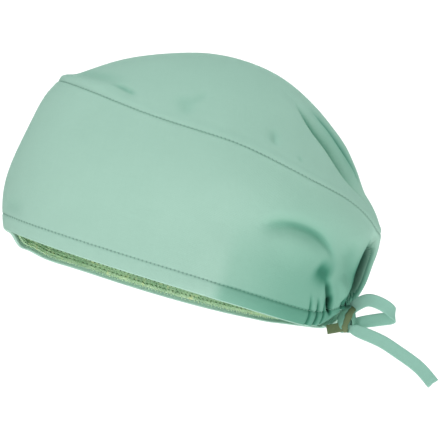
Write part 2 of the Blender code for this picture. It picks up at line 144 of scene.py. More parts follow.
FOLDS = (
    Fold("back valley", 0.05, -0.115, 0.45, 0.25, ((3, 0.37), (5, 0.29), (6, 0.18), (4, 0.09),
         (2, 0.02)), slant=1.1),
    Fold("notch by the knot", 0.032, -0.008, 0.4, 0.1, ((2, 0.12), (2, 0.04), (2, -0.08))),
    Fold("lobe right of the valley", 0.06, 0.004, 0.4, 0.3, ((-12, 0.36), (-14, 0.22), (-12, 0.08))),
    Fold("long crown valley", 0.026, -0.03, 0.3, 0.2, ((36, 0.88), (33, 0.774), (27, 0.726), (20, 0.661),
         (14, 0.6), (4, 0.54), (-8, 0.5))),
    Fold("crown bulge behind the valley", 0.08, 0.012, 0.4, 0.4, ((10, 0.8), (4, 0.7), (-4, 0.6))),
    Fold("front crown ridge", 0.028, 0.013, 0.1, 0.4, ((168, 0.705), (133, 0.69), (108, 0.686)), lean=0.3),
    Fold("crown dimple", 0.03, -0.007, 0.4, 0.4, ((94, 0.745), (91, 0.7), (89.5, 0.655)), tone=0.1),
    Fold("crown tuck", 0.026, -0.005, 0.4, 0.4, ((57, 0.72), (59, 0.645)), tone=0.05),
    Fold("arc crease", 0.034, -0.018, 0.3, 0.3, ((66, 0.225), (61, 0.271), (54, 0.29), (47, 0.284),
         (41, 0.262), (34, 0.215)), tone=0.1, lean=0.4),
    Fold("bulge under the arc", 0.08, 0.009, 0.4, 0.4, ((60, 0.2), (50, 0.225), (42, 0.19))),
    Fold("edge of the gathered back", 0.05, 0.006, 0.4, 0.1, ((75, 0.24), (74, 0.12), (68, -0.02)), lean=0.6),
    Fold("shade by the back", 0.05, -0.012, 0.4, 0.3, ((28, 0.3), (22, 0.2), (17, 0.1)), tone=0.1),
    Fold("dent over the front hem", 0.03, -0.006, 0.4, 0.4, ((160, 0.12), (138, 0.118)), tone=0.06),
    Fold("right arc crease", 0.034, -0.01, 0.3, 0.3, ((-70, 0.2), (-60, 0.255), (-48, 0.27),
         (-38, 0.23)), tone=0.06, lean=-0.4),
    Fold("right crown tuck", 0.034, -0.006, 0.4, 0.4, ((-84, 0.74), (-80, 0.65)), tone=0.03),
    Fold("right shade by the back", 0.05, -0.012, 0.4, 0.3, ((-34, 0.28), (-26, 0.18), (-22, 0.1)), tone=0.1),
    Fold("right gathered edge", 0.05, 0.006, 0.4, 0.1, ((-72, 0.22), (-66, 0.1), (-62, -0.02)), lean=-0.6),
    # painted shade alone, no rise: darkens the deep part of the back valley
    Fold("painted shade deep in the back valley", 0.046, 0.0, 0.35, 0.15, ((4, 0.335), (6, 0.25), (7, 0.17), (6, 0.09),
         (3, 0.03)), tone=3.0),
    Fold("shade on the far lobe", 0.05, 0.0, 0.3, 0.3, ((-10, 0.36), (-13, 0.22), (-11, 0.08)), tone=0.3),
    Fold("shade beyond the long valley", 0.05, 0.0, 0.3, 0.4, ((24, 0.84), (18, 0.75), (10, 0.68),
         (3, 0.61)), tone=0.32),
    Fold("shaded flank over the front ridge", 0.034, 0.0, 0.1, 0.4, ((172, 0.755), (138, 0.736),
         (112, 0.722)), tone=0.11),
    Fold("valley beside the front ridge", 0.011, -0.008, 0.5, 0.3, ((122, 0.706), (115, 0.699),
         (107, 0.684)), tone=0.22),
    Fold("dimple's right arm", 0.016, -0.004, 0.4, 0.4, ((84, 0.775), (88, 0.74), (91, 0.705)), tone=0.08),
    Fold("small crown tuck", 0.014, -0.005, 0.4, 0.4, ((57, 0.715), (59, 0.65)), tone=0.05),
    Fold("smaller crown tuck", 0.008, -0.003, 0.4, 0.4, ((48.5, 0.645), (47.5, 0.617)), tone=0.12),
    Fold("crease in the long valley", 0.01, -0.016, 0.3, 0.3, ((35, 0.83), (32, 0.768), (26, 0.722),
         (19, 0.655), (13, 0.595)), tone=0.5),
    Fold("ridge beyond the long valley", 0.02, 0.012, 0.3, 0.3, ((27, 0.8), (22, 0.735), (14, 0.675),
         (8, 0.615))),
    Fold("second line beyond the long valley", 0.01, -0.01, 0.3, 0.3, ((24, 0.82), (18, 0.75), (10, 0.69),
         (4, 0.63)), tone=0.4),
    Fold("line of the arc crease", 0.013, -0.009, 0.4, 0.3, ((65, 0.235), (61, 0.268), (54, 0.288),
         (47, 0.284), (41, 0.265), (35, 0.225), (32, 0.175)), tone=0.19, lean=0.3),
    # a dent with painted shade under the arc
    Fold("dent and painted shade under the arc", 0.04, -0.012, 0.4, 0.4, ((41, 0.175), (36, 0.155), (31, 0.14)), tone=0.4),
    Fold("fold down to the neck", 0.013, -0.024, 0.4, 0.2, ((35, 0.15), (31, 0.11), (27, 0.065),
         (23, 0.04)), tone=0.45),
    Fold("ridge behind that fold", 0.024, 0.014, 0.4, 0.3, ((26, 0.16), (22, 0.11), (17, 0.06))),
    Fold("first pleat", 0.0048, -0.007, 0.35, 0.1, ((39.5, 0.095), (36.5, 0.055), (35, 0.02),
         (34, -0.03)), tone=0.32),
    Fold("first pleat's ridge", 0.0065, 0.0055, 0.3, 0.1, ((37.5, 0.085), (34.5, 0.055), (33, 0.02),
         (32, -0.03))),
    Fold("second pleat", 0.0048, -0.0075, 0.35, 0.1, ((35.5, 0.09), (32.6, 0.055), (31, 0.02),
         (30, -0.03)), tone=0.38),
    Fold("second pleat's ridge", 0.0065, 0.0055, 0.3, 0.1, ((33.5, 0.085), (30.6, 0.055), (29, 0.02),
         (28, -0.03))),
    Fold("third pleat", 0.0048, -0.0075, 0.35, 0.1, ((31.5, 0.085), (28.8, 0.055), (27.3, 0.02),
         (26, -0.03)), tone=0.38),
    Fold("slanted tuck", 0.008, -0.014, 0.3, 0.2, ((28.5, 0.1), (26, 0.065), (24.5, 0.042),
         (22, 0.03)), tone=0.55),
    Fold("left gather", 0.012, -0.01, 0.4, 0.1, ((20, 0.1), (15, 0.05), (11, 0.0)), tone=0.35),
    Fold("right pleat", 0.008, -0.0085, 0.35, 0.1, ((-37, 0.095), (-34, 0.05), (-32, 0.02),
         (-31, -0.03)), tone=0.32),
    Fold("right pleat's ridge", 0.009, 0.0085, 0.3, 0.1, ((-34, 0.085), (-31.5, 0.05), (-30, 0.02),
         (-29, -0.03))),
    Fold("second right pleat", 0.008, -0.0085, 0.35, 0.1, ((-31, 0.09), (-28.5, 0.05), (-27, 0.02),
         (-26, -0.03)), tone=0.32),
    Fold("right fold to the knot", 0.015, -0.022, 0.4, 0.2, ((-30, 0.16), (-26, 0.1), (-20, 0.05),
         (-15, 0.02)), tone=0.4),
    Fold("right gather", 0.014, -0.012, 0.4, 0.1, ((-16, 0.12), (-12, 0.06), (-8, 0.0)), tone=0.35),
    Fold("line of the right arc crease", 0.013, -0.004, 0.4, 0.3, ((-69, 0.21), (-60, 0.255), (-48, 0.268),
         (-39, 0.235)), tone=0.1, lean=-0.3),
)


def smooth_through(knots: Sequence[float], values: Sequence[float], at: Array, start_slope: float | None = None,
                   end_slope: float | None = None) -> Array:
    """Values on a cubic spline through the knots.

    Args:
        knots: Places of the known values, rising.
        values: The known values.
        at: Places to read the spline.
        start_slope: Slope at the first knot, or None where it is free.
        end_slope: Slope at the last knot, or None where it is free.

    Returns:
        The spline's value at each place.
    """
    x, y = np.asarray(knots, float), np.asarray(values, float)
    count, step = len(x), np.diff(x)
    slope = np.diff(y) / step
    matrix, right = np.zeros((count, count)), np.zeros(count)
    matrix[0, 0] = matrix[-1, -1] = 1.0
    for i in range(1, count - 1):
        matrix[i, i - 1 : i + 2] = step[i - 1], 2 * (step[i - 1] + step[i]), step[i]
        right[i] = 6 * (slope[i] - slope[i - 1])
    if start_slope is not None:
        matrix[0, :2] = 2 * step[0], step[0]
        right[0] = 6 * (slope[0] - start_slope)
    if end_slope is not None:
        matrix[-1, -2:] = step[-1], 2 * step[-1]
        right[-1] = 6 * (end_slope - slope[-1])
    bend = np.linalg.solve(matrix, right)
    at = np.asarray(at, float)
    i = np.clip(np.searchsorted(x, at) - 1, 0, count - 2)
    after, before = at - x[i], x[i + 1] - at
    cubic = (bend[i] * before**3 + bend[i + 1] * after**3) / (6 * step[i])
    straight = (y[i] / step[i] - bend[i] * step[i] / 6) * before
    return cubic + straight + (y[i + 1] / step[i] - bend[i + 1] * step[i] / 6) * after


def unit(vectors: Array) -> Array:
    """The vectors at length 1."""
    return vectors / np.maximum(np.linalg.norm(vectors, axis=-1, keepdims=True), 1e-12)


def ease(value: Array, low: float, high: float) -> Array:
    """Smooth step from 0 at low to 1 at high."""
    share = np.clip((value - low) / (high - low), 0, 1)
    return share * share * (3 - 2 * share)


def fall(value: Array, low: float, high: float) -> Array:
    """Smooth step from 1 at low to 0 at high."""
    return 1 - ease(value, low, high)


def hump(value: Array, spread: float) -> Array:
    """Bell curve that is 1 at 0 and dies out beyond the spread."""
    return np.exp(-((value / spread) ** 2))


def from_back(angle: Array) -> Array:
    """Degrees from the centre back, the same on both sides."""
    return np.abs((np.degrees(angle) + 180) % 360 - 180)


@dataclass(frozen=True)
class CapForm:
    """The cap's outer surface, a loft of egg-shaped rings with folds pushed in or out of it."""

    length: float = 0.246
    width: float = 0.169
    rise: float = 0.1445
    rim_fade_level: float = 0.45
    rim_fade_limit: float = 1.2
    fold_reach: float = 3.0
    fold_steps: int = 60
    crowding: float = 0.45

    def ring_value(self, column: str, level: Array, end_slope: float | None = None) -> Array:
        """One column of the ring table at these levels."""
        return smooth_through([ring.level for ring in RINGS], [getattr(ring, column) for ring in RINGS], level,
                              end_slope=end_slope)

    def rim_drop(self, way: Array, angle: Array, level: Array) -> Array:
        """How far the cloth hangs below a straight ring, most at the rim."""
        ways = [drop.way for drop in RIM_DROPS]
        left = smooth_through(ways, [drop.left for drop in RIM_DROPS], way)
        right = smooth_through(ways, [drop.right for drop in RIM_DROPS], way)
        fade = np.clip(1 - level / self.rim_fade_level, 0, self.rim_fade_limit) ** 2
        return np.where(np.sin(angle) >= 0, left, right) * self.rise * fade

    def smooth(self, angle: Array, level: Array) -> Array:
        """Points of the cap without its folds.

        Args:
            angle: Angles from the centre back through the left side.
            level: 0 at the rim to 1 at the top.

        Returns:
            Points with one more axis of x, y and z.
        """
        angle, level = np.broadcast_arrays(np.asarray(angle, float), np.asarray(level, float))
        front, back = (self.ring_value(side, level) * self.length for side in ("front", "back"))
        low, high = (self.ring_value(side, level, 0.0) * self.rise for side in ("front_rise", "back_rise"))
        half_width = np.maximum(self.ring_value("half_width", level), 0) * self.width / 2
        towards_back = (1 + np.cos(angle)) / 2
        blunt_front, blunt_back = self.ring_value("blunt_front", level), self.ring_value("blunt_back", level)
        power = 2 / (blunt_front + (blunt_back - blunt_front) * towards_back)
        across = np.sign(np.sin(angle)) * np.abs(np.sin(angle)) ** power
        along = np.sign(np.cos(angle)) * np.abs(np.cos(angle)) ** power
        way = (1 + along) / 2
        return np.stack([half_width * across, front + (back - front) * way,
                         low + (high - low) * way - self.rim_drop(way, angle, level)], -1)

    def outward(self, angle: Array, level: Array) -> Array:
        """Unit vectors out of the smooth form, which turn upright close to the top."""
        turn, rise, top, highest = 0.02, 0.002, 0.96, 0.99
        below_top = np.minimum(level, highest)
        along = self.smooth(angle + turn, below_top) - self.smooth(angle - turn, below_top)
        up = self.smooth(angle, below_top + rise) - self.smooth(angle, below_top - rise)
        upright = np.clip((level - top) / (1 - top), 0, 1)[..., None]
        return unit(unit(np.cross(up, along)) * (1 - upright) + np.array([0.0, 0.0, 1.0]) * upright)

    def near_fold(self, points: Array, normals: Array, fold: Fold) -> tuple[Array, Array, Array, Array]:
        """Where one fold reaches.

        Args:
            points: Points of the smooth form.
            normals: Unit vectors out of it.
            fold: The fold.

        Returns:
            A mask of the points in reach and, for those, the direction across the fold, the place across it in
            spreads, and the fold's strength from 0 to 1.
        """
        degrees, levels = np.array(fold.route, float).T
        knots = np.linspace(0, 1, len(degrees))
        share = np.linspace(0, 1, self.fold_steps)
        route = self.smooth(np.radians(smooth_through(knots, degrees, share)), smooth_through(knots, levels, share))
        spread = fold.spread * self.width
        margin = self.fold_reach * spread
        reach = (points > route.min(0) - margin).all(-1) & (points < route.max(0) + margin).all(-1)
        points, normals = points[reach], normals[reach]
        away = points[:, None, :] - route
        nearest = np.linalg.norm(away, axis=-1).argmin(-1)
        offset = away[np.arange(len(points)), nearest]
        across = np.cross(unit(np.gradient(route, axis=0))[nearest], normals)
        ends = ease(share, 0, fold.fade_in) * ease(1 - share, 0, fold.fade_out)
        strength = hump(np.linalg.norm(offset, axis=-1), spread) * ends[nearest]
        return reach, across, (across * offset).sum(-1) / spread, strength

    def fold_move(self, points: Array, normals: Array, fold: Fold) -> Array:
        """How one fold moves each point."""
        moved = np.zeros(points.shape)
        reach, across, side, strength = self.near_fold(points, normals, fold)
        height = fold.rise * self.width * strength * (1 + fold.lean * side)
        moved[reach] = normals[reach] * height[:, None] + unit(across) * (fold.slant * height)[:, None]
        return moved

    def points(self, angle: Array, level: Array, depth: Array | float = 0.0) -> Array:
        """Points at a depth inside the folded outer face."""
        angle, level = np.broadcast_arrays(np.asarray(angle, float), np.asarray(level, float))
        smooth, normals = self.smooth(angle, level), self.outward(angle, level)
        moved = smooth + sum(self.fold_move(smooth, normals, fold) for fold in FOLDS)
        return moved - normals * np.broadcast_to(depth, level.shape)[..., None]

    def tone(self, angle: Array, level: Array) -> Array:
        """How much painted shade the folds put on the cloth, from 0 to 1."""
        smooth, normals = self.smooth(angle, level), self.outward(angle, level)
        total = np.zeros(level.shape)
        for fold in FOLDS:
            reach, _, _, strength = self.near_fold(smooth, normals, fold)
            total[reach] += fold.tone * strength
        return np.clip(total, 0, 1)

    def seam_level(self, angle: Array) -> Array:
        """Level of the seam between side band and crown."""
        return smooth_through([p[0] for p in SEAM], [p[1] for p in SEAM], from_back(angle), 0.0, 0.0)

    def level_step(self, angle: Array, level: Array, length: Array | float) -> Array:
        """Change of level that covers this length up the cap."""
        rise = 0.002
        step = self.smooth(angle, level + rise) - self.smooth(angle, level - rise)
        return length * 2 * rise / np.linalg.norm(step, axis=-1)

    def level_at_height(self, angle: Array, height: Array | float) -> Array:
        """Level at this height up the cloth from the rim."""
        level = self.level_step(angle, np.zeros(angle.shape), height)
        for _ in range(3):
            level = self.level_step(angle, level / 2, height)
        return level

    def ring_angles(self, count: int) -> Array:
        """Angles all the way round, closer together at the back, where the folds are."""
        turn = np.arange(count) / count * 2 * math.pi
        return turn - self.crowding * np.sin(turn)


class Signal:
    """A socket that takes part in sums, so that an expression on values adds its Math nodes."""

    def __init__(self, graph: "Graph", socket: Any) -> None:
        """Holds the graph and the socket."""
        self.graph, self.socket = graph, socket

    def _math(self, operation: str, *others: Any, clamp: bool = False) -> "Signal":
        """One Math node on this value and the others."""
        return self.graph.node("ShaderNodeMath", {"operation": operation, "use_clamp": clamp},
                               dict(enumerate(others)))

    def __add__(self, other: Any) -> "Signal":
        """Sum."""
        return self._math("ADD", self, other)

    def __radd__(self, other: Any) -> "Signal":
        """Sum."""
        return self._math("ADD", other, self)

    def __sub__(self, other: Any) -> "Signal":
        """Difference."""
        return self._math("SUBTRACT", self, other)

    def __rsub__(self, other: Any) -> "Signal":
        """Difference from a number."""
        return self._math("SUBTRACT", other, self)

    def __mul__(self, other: Any) -> "Signal":
        """Product."""
        return self._math("MULTIPLY", self, other)

    def __truediv__(self, other: Any) -> "Signal":
        """Quotient."""
        return self._math("DIVIDE", self, other)

    def sine(self) -> "Signal":
        """Sine of the value in radians."""
        return self._math("SINE", self)

    def fraction(self) -> "Signal":
        """What is over the last whole number."""
        return self._math("FRACT", self)

    def size(self) -> "Signal":
        """Value without its sign."""
        return self._math("ABSOLUTE", self)

    def capped(self) -> "Signal":
        """Value kept between 0 and 1."""
        return self._math("ADD", self, 0.0, clamp=True)

    def below(self, limit: float, softness: float) -> "Signal":
        """1 where the value is under the limit, falling to 0 over the softness."""
        return self._math("DIVIDE", limit + softness - self, softness, clamp=True)


class Graph:
    """Nodes of one material."""

    def __init__(self, name: str) -> None:
        """Makes the material with an empty shader."""
        self.material = bpy.data.materials.new(name)
        self.material.use_nodes = True
        self.tree = self.material.node_tree
        self.shader = self.tree.nodes["Principled BSDF"]

    def node(self, kind: str, settings: dict[str, Any], inputs: dict[Any, Any], output: Any = 0) -> Signal:
        """Adds one node.

        Args:
            kind: Type name of the node.
            settings: Properties, set before the sockets.
            inputs: Values or signals by socket name or number.
            output: Name or number of the socket to return.

        Returns:
            The chosen output.
        """
        made = self.tree.nodes.new(kind)
        for name, value in settings.items():
            setattr(made, name, value)
        for name, value in inputs.items():
            if isinstance(value, Signal):
                self.tree.links.new(value.socket, made.inputs[name])
            else:
                made.inputs[name].default_value = value
        return Signal(self, made.outputs[output])

    def blend(self, factor: Any, first: Any, second: Any, mode: str = "MIX") -> Signal:
        """Mixes two colours."""
        return self.node("ShaderNodeMix", {"data_type": "RGBA", "blend_type": mode},
                         {0: factor, 6: first, 7: second}, 2)

    def noise(self, place: Signal, scale: float, detail: float = 2.0, roughness: float = 0.55) -> Signal:
        """Soft random value about 0.5 with this many spots a metre."""
        return self.node("ShaderNodeTexNoise", {"noise_dimensions": "3D"},
                         {"Vector": place, "Scale": scale, "Detail": detail, "Roughness": roughness})

    def place(self) -> Signal:
        """Place in the piece's own space."""
        return self.node("ShaderNodeTexCoord", {}, {}, "Object")

    def uv_map(self, title: str) -> list[Signal]:
        """The two numbers of a UV map."""
        pair = self.node("ShaderNodeUVMap", {"uv_map": title}, {})
        return [self.node("ShaderNodeSeparateXYZ", {}, {0: pair}, axis) for axis in (0, 1)]

    def bump(self, height: Signal) -> Signal:
        """Normals bent by a height in metres."""
        return self.node("ShaderNodeBump", {}, {"Strength": 1.0, "Distance": 1.0, "Height": height})

    def surface(self, **sockets: Any) -> None:
        """Sets or links sockets of the shader, with spaces written as underscores."""
        for name, value in sockets.items():
            socket = self.shader.inputs[name.replace("_", " ")]
            if isinstance(value, Signal):
                self.tree.links.new(value.socket, socket)
            else:
                socket.default_value = value


@dataclass(frozen=True)
class WovenFinish:
    """Plain-woven cotton blend: crossed threads, slubs and soft bloom. Sewn cloth gets painted shade at its needle
    holes, along its stitch grooves and in its creases and gathers.
    """

    name: str
    colour: Colour
    deep: Colour
    is_sewn_and_shaded: bool = False
    thread_pitch: float = 0.00050
    slub_scales: tuple[float, float] = (1600.0, 60.0)
    cloud_scale: float = 28.0
    fine_scale: float = 420.0
    slub_tone: float = 0.30
    cloud_tone: float = 0.30
    fine_tone: float = 0.16
    thread_tone: float = 0.05
    thread_depth: float = 0.00005
    slub_depth: float = 0.00006
    fine_depth: float = 0.00010
    cloud_depth: float = 0.0006
    hole_pitch: float = 0.0027
    hole_band: tuple[float, float] = (0.17, 0.05)
    line_band: tuple[float, float] = (0.00035, 0.0004)
    near_band: tuple[float, float] = (0.0007, 0.0016)
    # painted shade in the needle holes, along the stitch groove and beside it
    hole_shade: float = 0.42
    line_shade: float = 0.04
    near_shade: float = 0.03
    hole_shade_tint: Point = (0.30, 0.36, 0.36)
    # Painted shade colours: creases and gathers turn to the shade colour and then to the deeper crease shade.
    shade: Colour = (0.130, 0.420, 0.300, 1.0)
    shade_gain: float = 1.6
    crease: Colour = (0.009, 0.048, 0.030, 1.0)
    roughness: float = 0.84
    roughness_spread: float = 0.14
    gloss: float = 0.12
    sheen: float = 0.04
    sheen_roughness: float = 0.45
    sheen_tint: Colour = (0.80, 1.0, 0.92, 1.0)

    def make(self) -> bpy.types.Material:
        """The material's nodes."""
        graph = Graph(self.name)
        u, v = graph.uv_map("Cloth")
        place = graph.place()
        turn = math.pi / self.thread_pitch
        weave = (u * turn).sine() * (v * turn).sine()
        fast, slow = self.slub_scales
        streaks = [graph.noise(graph.node("ShaderNodeCombineXYZ", {}, {0: u * a, 1: v * b, 2: 0.0}), 1.0, 1.0)
                   for a, b in ((fast, slow), (slow, fast))]
        slubs = (streaks[0] + streaks[1]) * 0.5
        cloudy, fine = graph.noise(place, self.cloud_scale, 3.0), graph.noise(place, self.fine_scale)
        tone = ((slubs - 0.5) * self.slub_tone + (cloudy - 0.5) * self.cloud_tone
                + (fine - 0.5) * self.fine_tone + 0.5 + weave * self.thread_tone)
        colour = graph.blend(tone, self.deep, self.colour)
        # painted shade along the stitches, then painted shade in the creases and gathers
        if self.is_sewn_and_shaded:
            colour = self.shade_creases(graph, self.shade_stitch_lines(graph, colour))
        height = (weave * self.thread_depth + slubs * self.slub_depth + fine * self.fine_depth
                  + cloudy * self.cloud_depth)
        graph.surface(Base_Color=colour, Normal=graph.bump(height), Metallic=0.0,
                      Roughness=self.roughness + (fine - 0.5) * self.roughness_spread,
                      Sheen_Weight=self.sheen, Sheen_Roughness=self.sheen_roughness, Sheen_Tint=self.sheen_tint,
                      Specular_IOR_Level=self.gloss)
        return graph.material

    def shade_stitch_lines(self, graph: Graph, colour: Signal) -> Signal:
        """The colour with painted shade along the stitch groove, beside it and in the needle holes."""
        along, off = graph.uv_map("Stitch")
        hole = ((along / self.hole_pitch).fraction() - 0.5).size().below(*self.hole_band)
        line, near = (off.size().below(*band) for band in (self.line_band, self.near_band))
        dark = tuple(part * share for part, share in zip(self.deep, self.hole_shade_tint)) + (1.0,)
        return graph.blend(near * self.near_shade + line * self.line_shade + hole * line * self.hole_shade,
                           colour, dark)

    def shade_creases(self, graph: Graph, colour: Signal) -> Signal:
        """The colour with painted shade, turned to the shade colour and then to the deeper crease shade as the painted
        tone rises.
        """
        tone = graph.uv_map("Crease")[0]
        colour = graph.blend((tone * self.shade_gain).capped(), colour, self.shade)
        return graph.blend(tone * tone, colour, self.crease)


@dataclass(frozen=True)
class TowellingFinish:
    """Looped pile, with paler tips and dark ground between the loops."""

    name: str
    tip: Colour
    ground: Colour
    fleck: Colour
    patch_scale: float = 130.0
    fine_scale: float = 900.0
    fleck_scale: float = 300.0
    patch_start: float = 0.32
    patch_gain: float = 2.2
    fleck_start: float = 0.60
    fleck_gain: float = 5.0
    patch_depth: float = 0.0006
    fine_depth: float = 0.00035

    def make(self) -> bpy.types.Material:
        """The material's nodes."""
        graph = Graph(self.name)
        place = graph.place()
        patch, fine = graph.noise(place, self.patch_scale), graph.noise(place, self.fine_scale)
        fuzzy = graph.noise(place, self.fleck_scale, 1.0, 0.5)
        colour = graph.blend((patch - self.patch_start) * self.patch_gain, self.ground, self.tip)
        colour = graph.blend(((fuzzy - self.fleck_start) * self.fleck_gain).capped(), colour, self.fleck)
        graph.surface(Base_Color=colour, Normal=graph.bump(fine * self.fine_depth + patch * self.patch_depth),
                      Roughness=0.90 + (fine - 0.5) * 0.12, Sheen_Weight=0.2, Sheen_Roughness=0.5,
                      Specular_IOR_Level=0.15, Metallic=0.0)
        return graph.material


@dataclass(frozen=True)
class ThreadFinish:
    """Twisted sewing thread, a little shinier than the cloth."""

    name: str
    colour: Colour
    deep: Colour
    twist_scale: float = 1500.0
    twist_depth: float = 0.00008

    def make(self) -> bpy.types.Material:
        """The material's nodes."""
        graph = Graph(self.name)
        fine = graph.noise(graph.place(), self.twist_scale, 1.0)
        graph.surface(Base_Color=graph.blend(fine, self.deep, self.colour), Normal=graph.bump(fine * self.twist_depth),
                      Roughness=0.55 + (fine - 0.5) * 0.2, Specular_IOR_Level=0.4, Metallic=0.0)
        return graph.material


@dataclass(frozen=True)
class FloorFinish:
    """Matt pale floor that glows evenly, as a light table does."""

    name: str
    colour: Colour
    glow: Colour = (1.0, 0.90, 0.92, 1.0)
    glow_strength: float = 0.62
    worn_share: float = 0.97
    worn_scale: float = 6.0

    def make(self) -> bpy.types.Material:
        """The material's nodes."""
        graph = Graph(self.name)
        worn = graph.noise(graph.place(), self.worn_scale, 3.0)
        pale = tuple(self.worn_share * part for part in self.colour[:3]) + (1.0,)
        graph.surface(Base_Color=graph.blend(worn, pale, self.colour), Roughness=0.8 + (worn - 0.5) * 0.1,
                      Metallic=0.0, Emission_Color=self.glow, Emission_Strength=self.glow_strength)
        return graph.material


def placed(name: str, data: bpy.types.ID) -> bpy.types.Object:
    """A new object in the scene with this data."""
    made = bpy.data.objects.new(name, data)
    bpy.context.scene.collection.objects.link(made)
    return made


def add_mesh(name: str, points: Array, faces: Array, looks: Sequence[bpy.types.Material],
             maps: dict[str, Array] | None = None) -> bpy.types.Object:
    """Makes a smooth-shaded mesh piece that faces outwards.

    Args:
        name: Name of the piece.
        points: Corners, one row each.
        faces: Quads as numbers of corners. Corners in one place are merged.
        looks: Materials of the piece.
        maps: UV maps by name, with a pair for each corner of each face.

    Returns:
        The piece.
    """
    mesh = bpy.data.meshes.new(name)
    mesh.from_pydata(points.tolist(), [], faces.tolist())
    for title, pairs in (maps or {}).items():
        mesh.uv_layers.new(name=title).data.foreach_set("uv", pairs.astype(np.float32).ravel())
    for look in looks:
        mesh.materials.append(look)
    builder = bmesh.new()
    builder.from_mesh(mesh)
    bmesh.ops.remove_doubles(builder, verts=builder.verts, dist=1e-6)
    if builder.calc_volume(signed=True) < 0:
        bmesh.ops.reverse_faces(builder, faces=builder.faces)
    builder.to_mesh(mesh)
    builder.free()
    mesh.shade_smooth()
    return placed(name, mesh)


def grid_faces(rows: int, columns: int, closed_rows: bool, closed_columns: bool) -> Array:
    """Quads of a grid of points, as (row, column) pairs that may run one past the end where it closes."""
    i, j = np.meshgrid(np.arange(rows if closed_rows else rows - 1),
                       np.arange(columns if closed_columns else columns - 1), indexing="ij")
    i, j = i.ravel(), j.ravel()
    return np.stack([np.stack([i + a, j + b], -1) for a, b in ((0, 0), (1, 0), (1, 1), (0, 1))], 1)


def grid_piece(name: str, points: Array, look: bpy.types.Material, closed_rows: bool, closed_columns: bool,
               maps: dict[str, Array]) -> bpy.types.Object:
    """Makes a piece from a grid of points.

    Args:
        name: Name of the piece.
        points: Grid of points, rows by columns.
        look: Material of the piece.
        closed_rows: Whether the last row joins the first.
        closed_columns: Whether the last column joins the first.
        maps: UV maps by name, with one more row and column than the points.

    Returns:
        The piece.
    """
    rows, columns = points.shape[:2]
    quads = grid_faces(rows, columns, closed_rows, closed_columns)
    faces = (quads[..., 0] % rows) * columns + quads[..., 1] % columns
    corners = {title: values[quads[..., 0], quads[..., 1]] for title, values in maps.items()}
    return add_mesh(name, points.reshape(-1, 3), faces, [look], corners)


def arc_lengths(points: Array) -> Array:
    """Length along a row of points from its first point."""
    return np.concatenate([[0.0], np.cumsum(np.linalg.norm(np.diff(points, axis=0), axis=-1))])


def round_lengths(points: Array) -> Array:
    """Length along a closed row of points, with the way back to its first point."""
    return arc_lengths(np.concatenate([points, points[:1]]))


class Grower:
    """Builds one Geometry Nodes tree that lays copies of a small piece on a base."""

    def __init__(self, title: str, inputs: dict[str, str], output: str) -> None:
        """Makes the tree, with inputs by name and kind of socket and one output of geometry."""
        self.tree = bpy.data.node_groups.new(title, "GeometryNodeTree")
        for label, kind in inputs.items():
            self.tree.interface.new_socket(label, in_out="INPUT", socket_type="NodeSocket" + kind)
        self.tree.interface.new_socket(output, in_out="OUTPUT", socket_type="NodeSocketGeometry")
        self.given = self.tree.nodes.new("NodeGroupInput").outputs
        self.result = self.tree.nodes.new("NodeGroupOutput").inputs[0]

    def join(self, node: bpy.types.Node, inputs: dict[Any, Any]) -> None:
        """Sets a node's sockets to values, or links them to a socket or to another node's first output."""
        for name, value in inputs.items():
            source = value.outputs[0] if isinstance(value, bpy.types.Node) else value
            if isinstance(source, bpy.types.NodeSocket):
                self.tree.links.new(source, node.inputs[name])
            else:
                node.inputs[name].default_value = source

    def add(self, kind: str, inputs: dict[Any, Any], **settings: Any) -> bpy.types.Node:
        """Adds one node with its settings and inputs."""
        made = self.tree.nodes.new(kind)
        for name, value in settings.items():
            setattr(made, name, value)
        self.join(made, inputs)
        return made

    def lay(self, inputs: dict[str, Any], look: bpy.types.NodeSocket) -> bpy.types.NodeTree:
        """Lays the copies, paints them and gives back the finished tree."""
        real = self.add("GeometryNodeRealizeInstances",
                        {"Geometry": self.add("GeometryNodeInstanceOnPoints", inputs)})
        paint = self.add("GeometryNodeSetMaterial", {"Geometry": real, "Material": look})
        self.tree.links.new(paint.outputs[0], self.result)
        return self.tree


def sewing_tree(title: str) -> bpy.types.NodeTree:
    """Tree that lays rounded stitches along an edge path, with the inputs Pitch, Length, Thickness and Thread."""
    grower = Grower(title, {"Path": "Geometry", "Pitch": "Float", "Length": "Float", "Thickness": "Float",
                            "Thread": "Material"}, "Stitches")
    given = grower.given
    path = grower.add("GeometryNodeMeshToCurve", {"Mesh": given["Path"]})
    spots = grower.add("GeometryNodeCurveToPoints", {"Curve": path, "Length": given["Pitch"]}, mode="LENGTH")
    bead = grower.add("GeometryNodeMeshUVSphere", {"Segments": 6, "Rings": 6, "Radius": 0.5})
    soft = grower.add("GeometryNodeSetShadeSmooth", {"Geometry": bead})
    turn = grower.add("FunctionNodeAlignRotationToVector", {"Vector": spots.outputs["Tangent"]}, axis="Z")
    size = grower.add("ShaderNodeCombineXYZ", {0: given["Thickness"], 1: given["Thickness"], 2: given["Length"]})
    return grower.lay({"Points": spots, "Instance": soft, "Rotation": turn, "Scale": size}, given["Thread"])


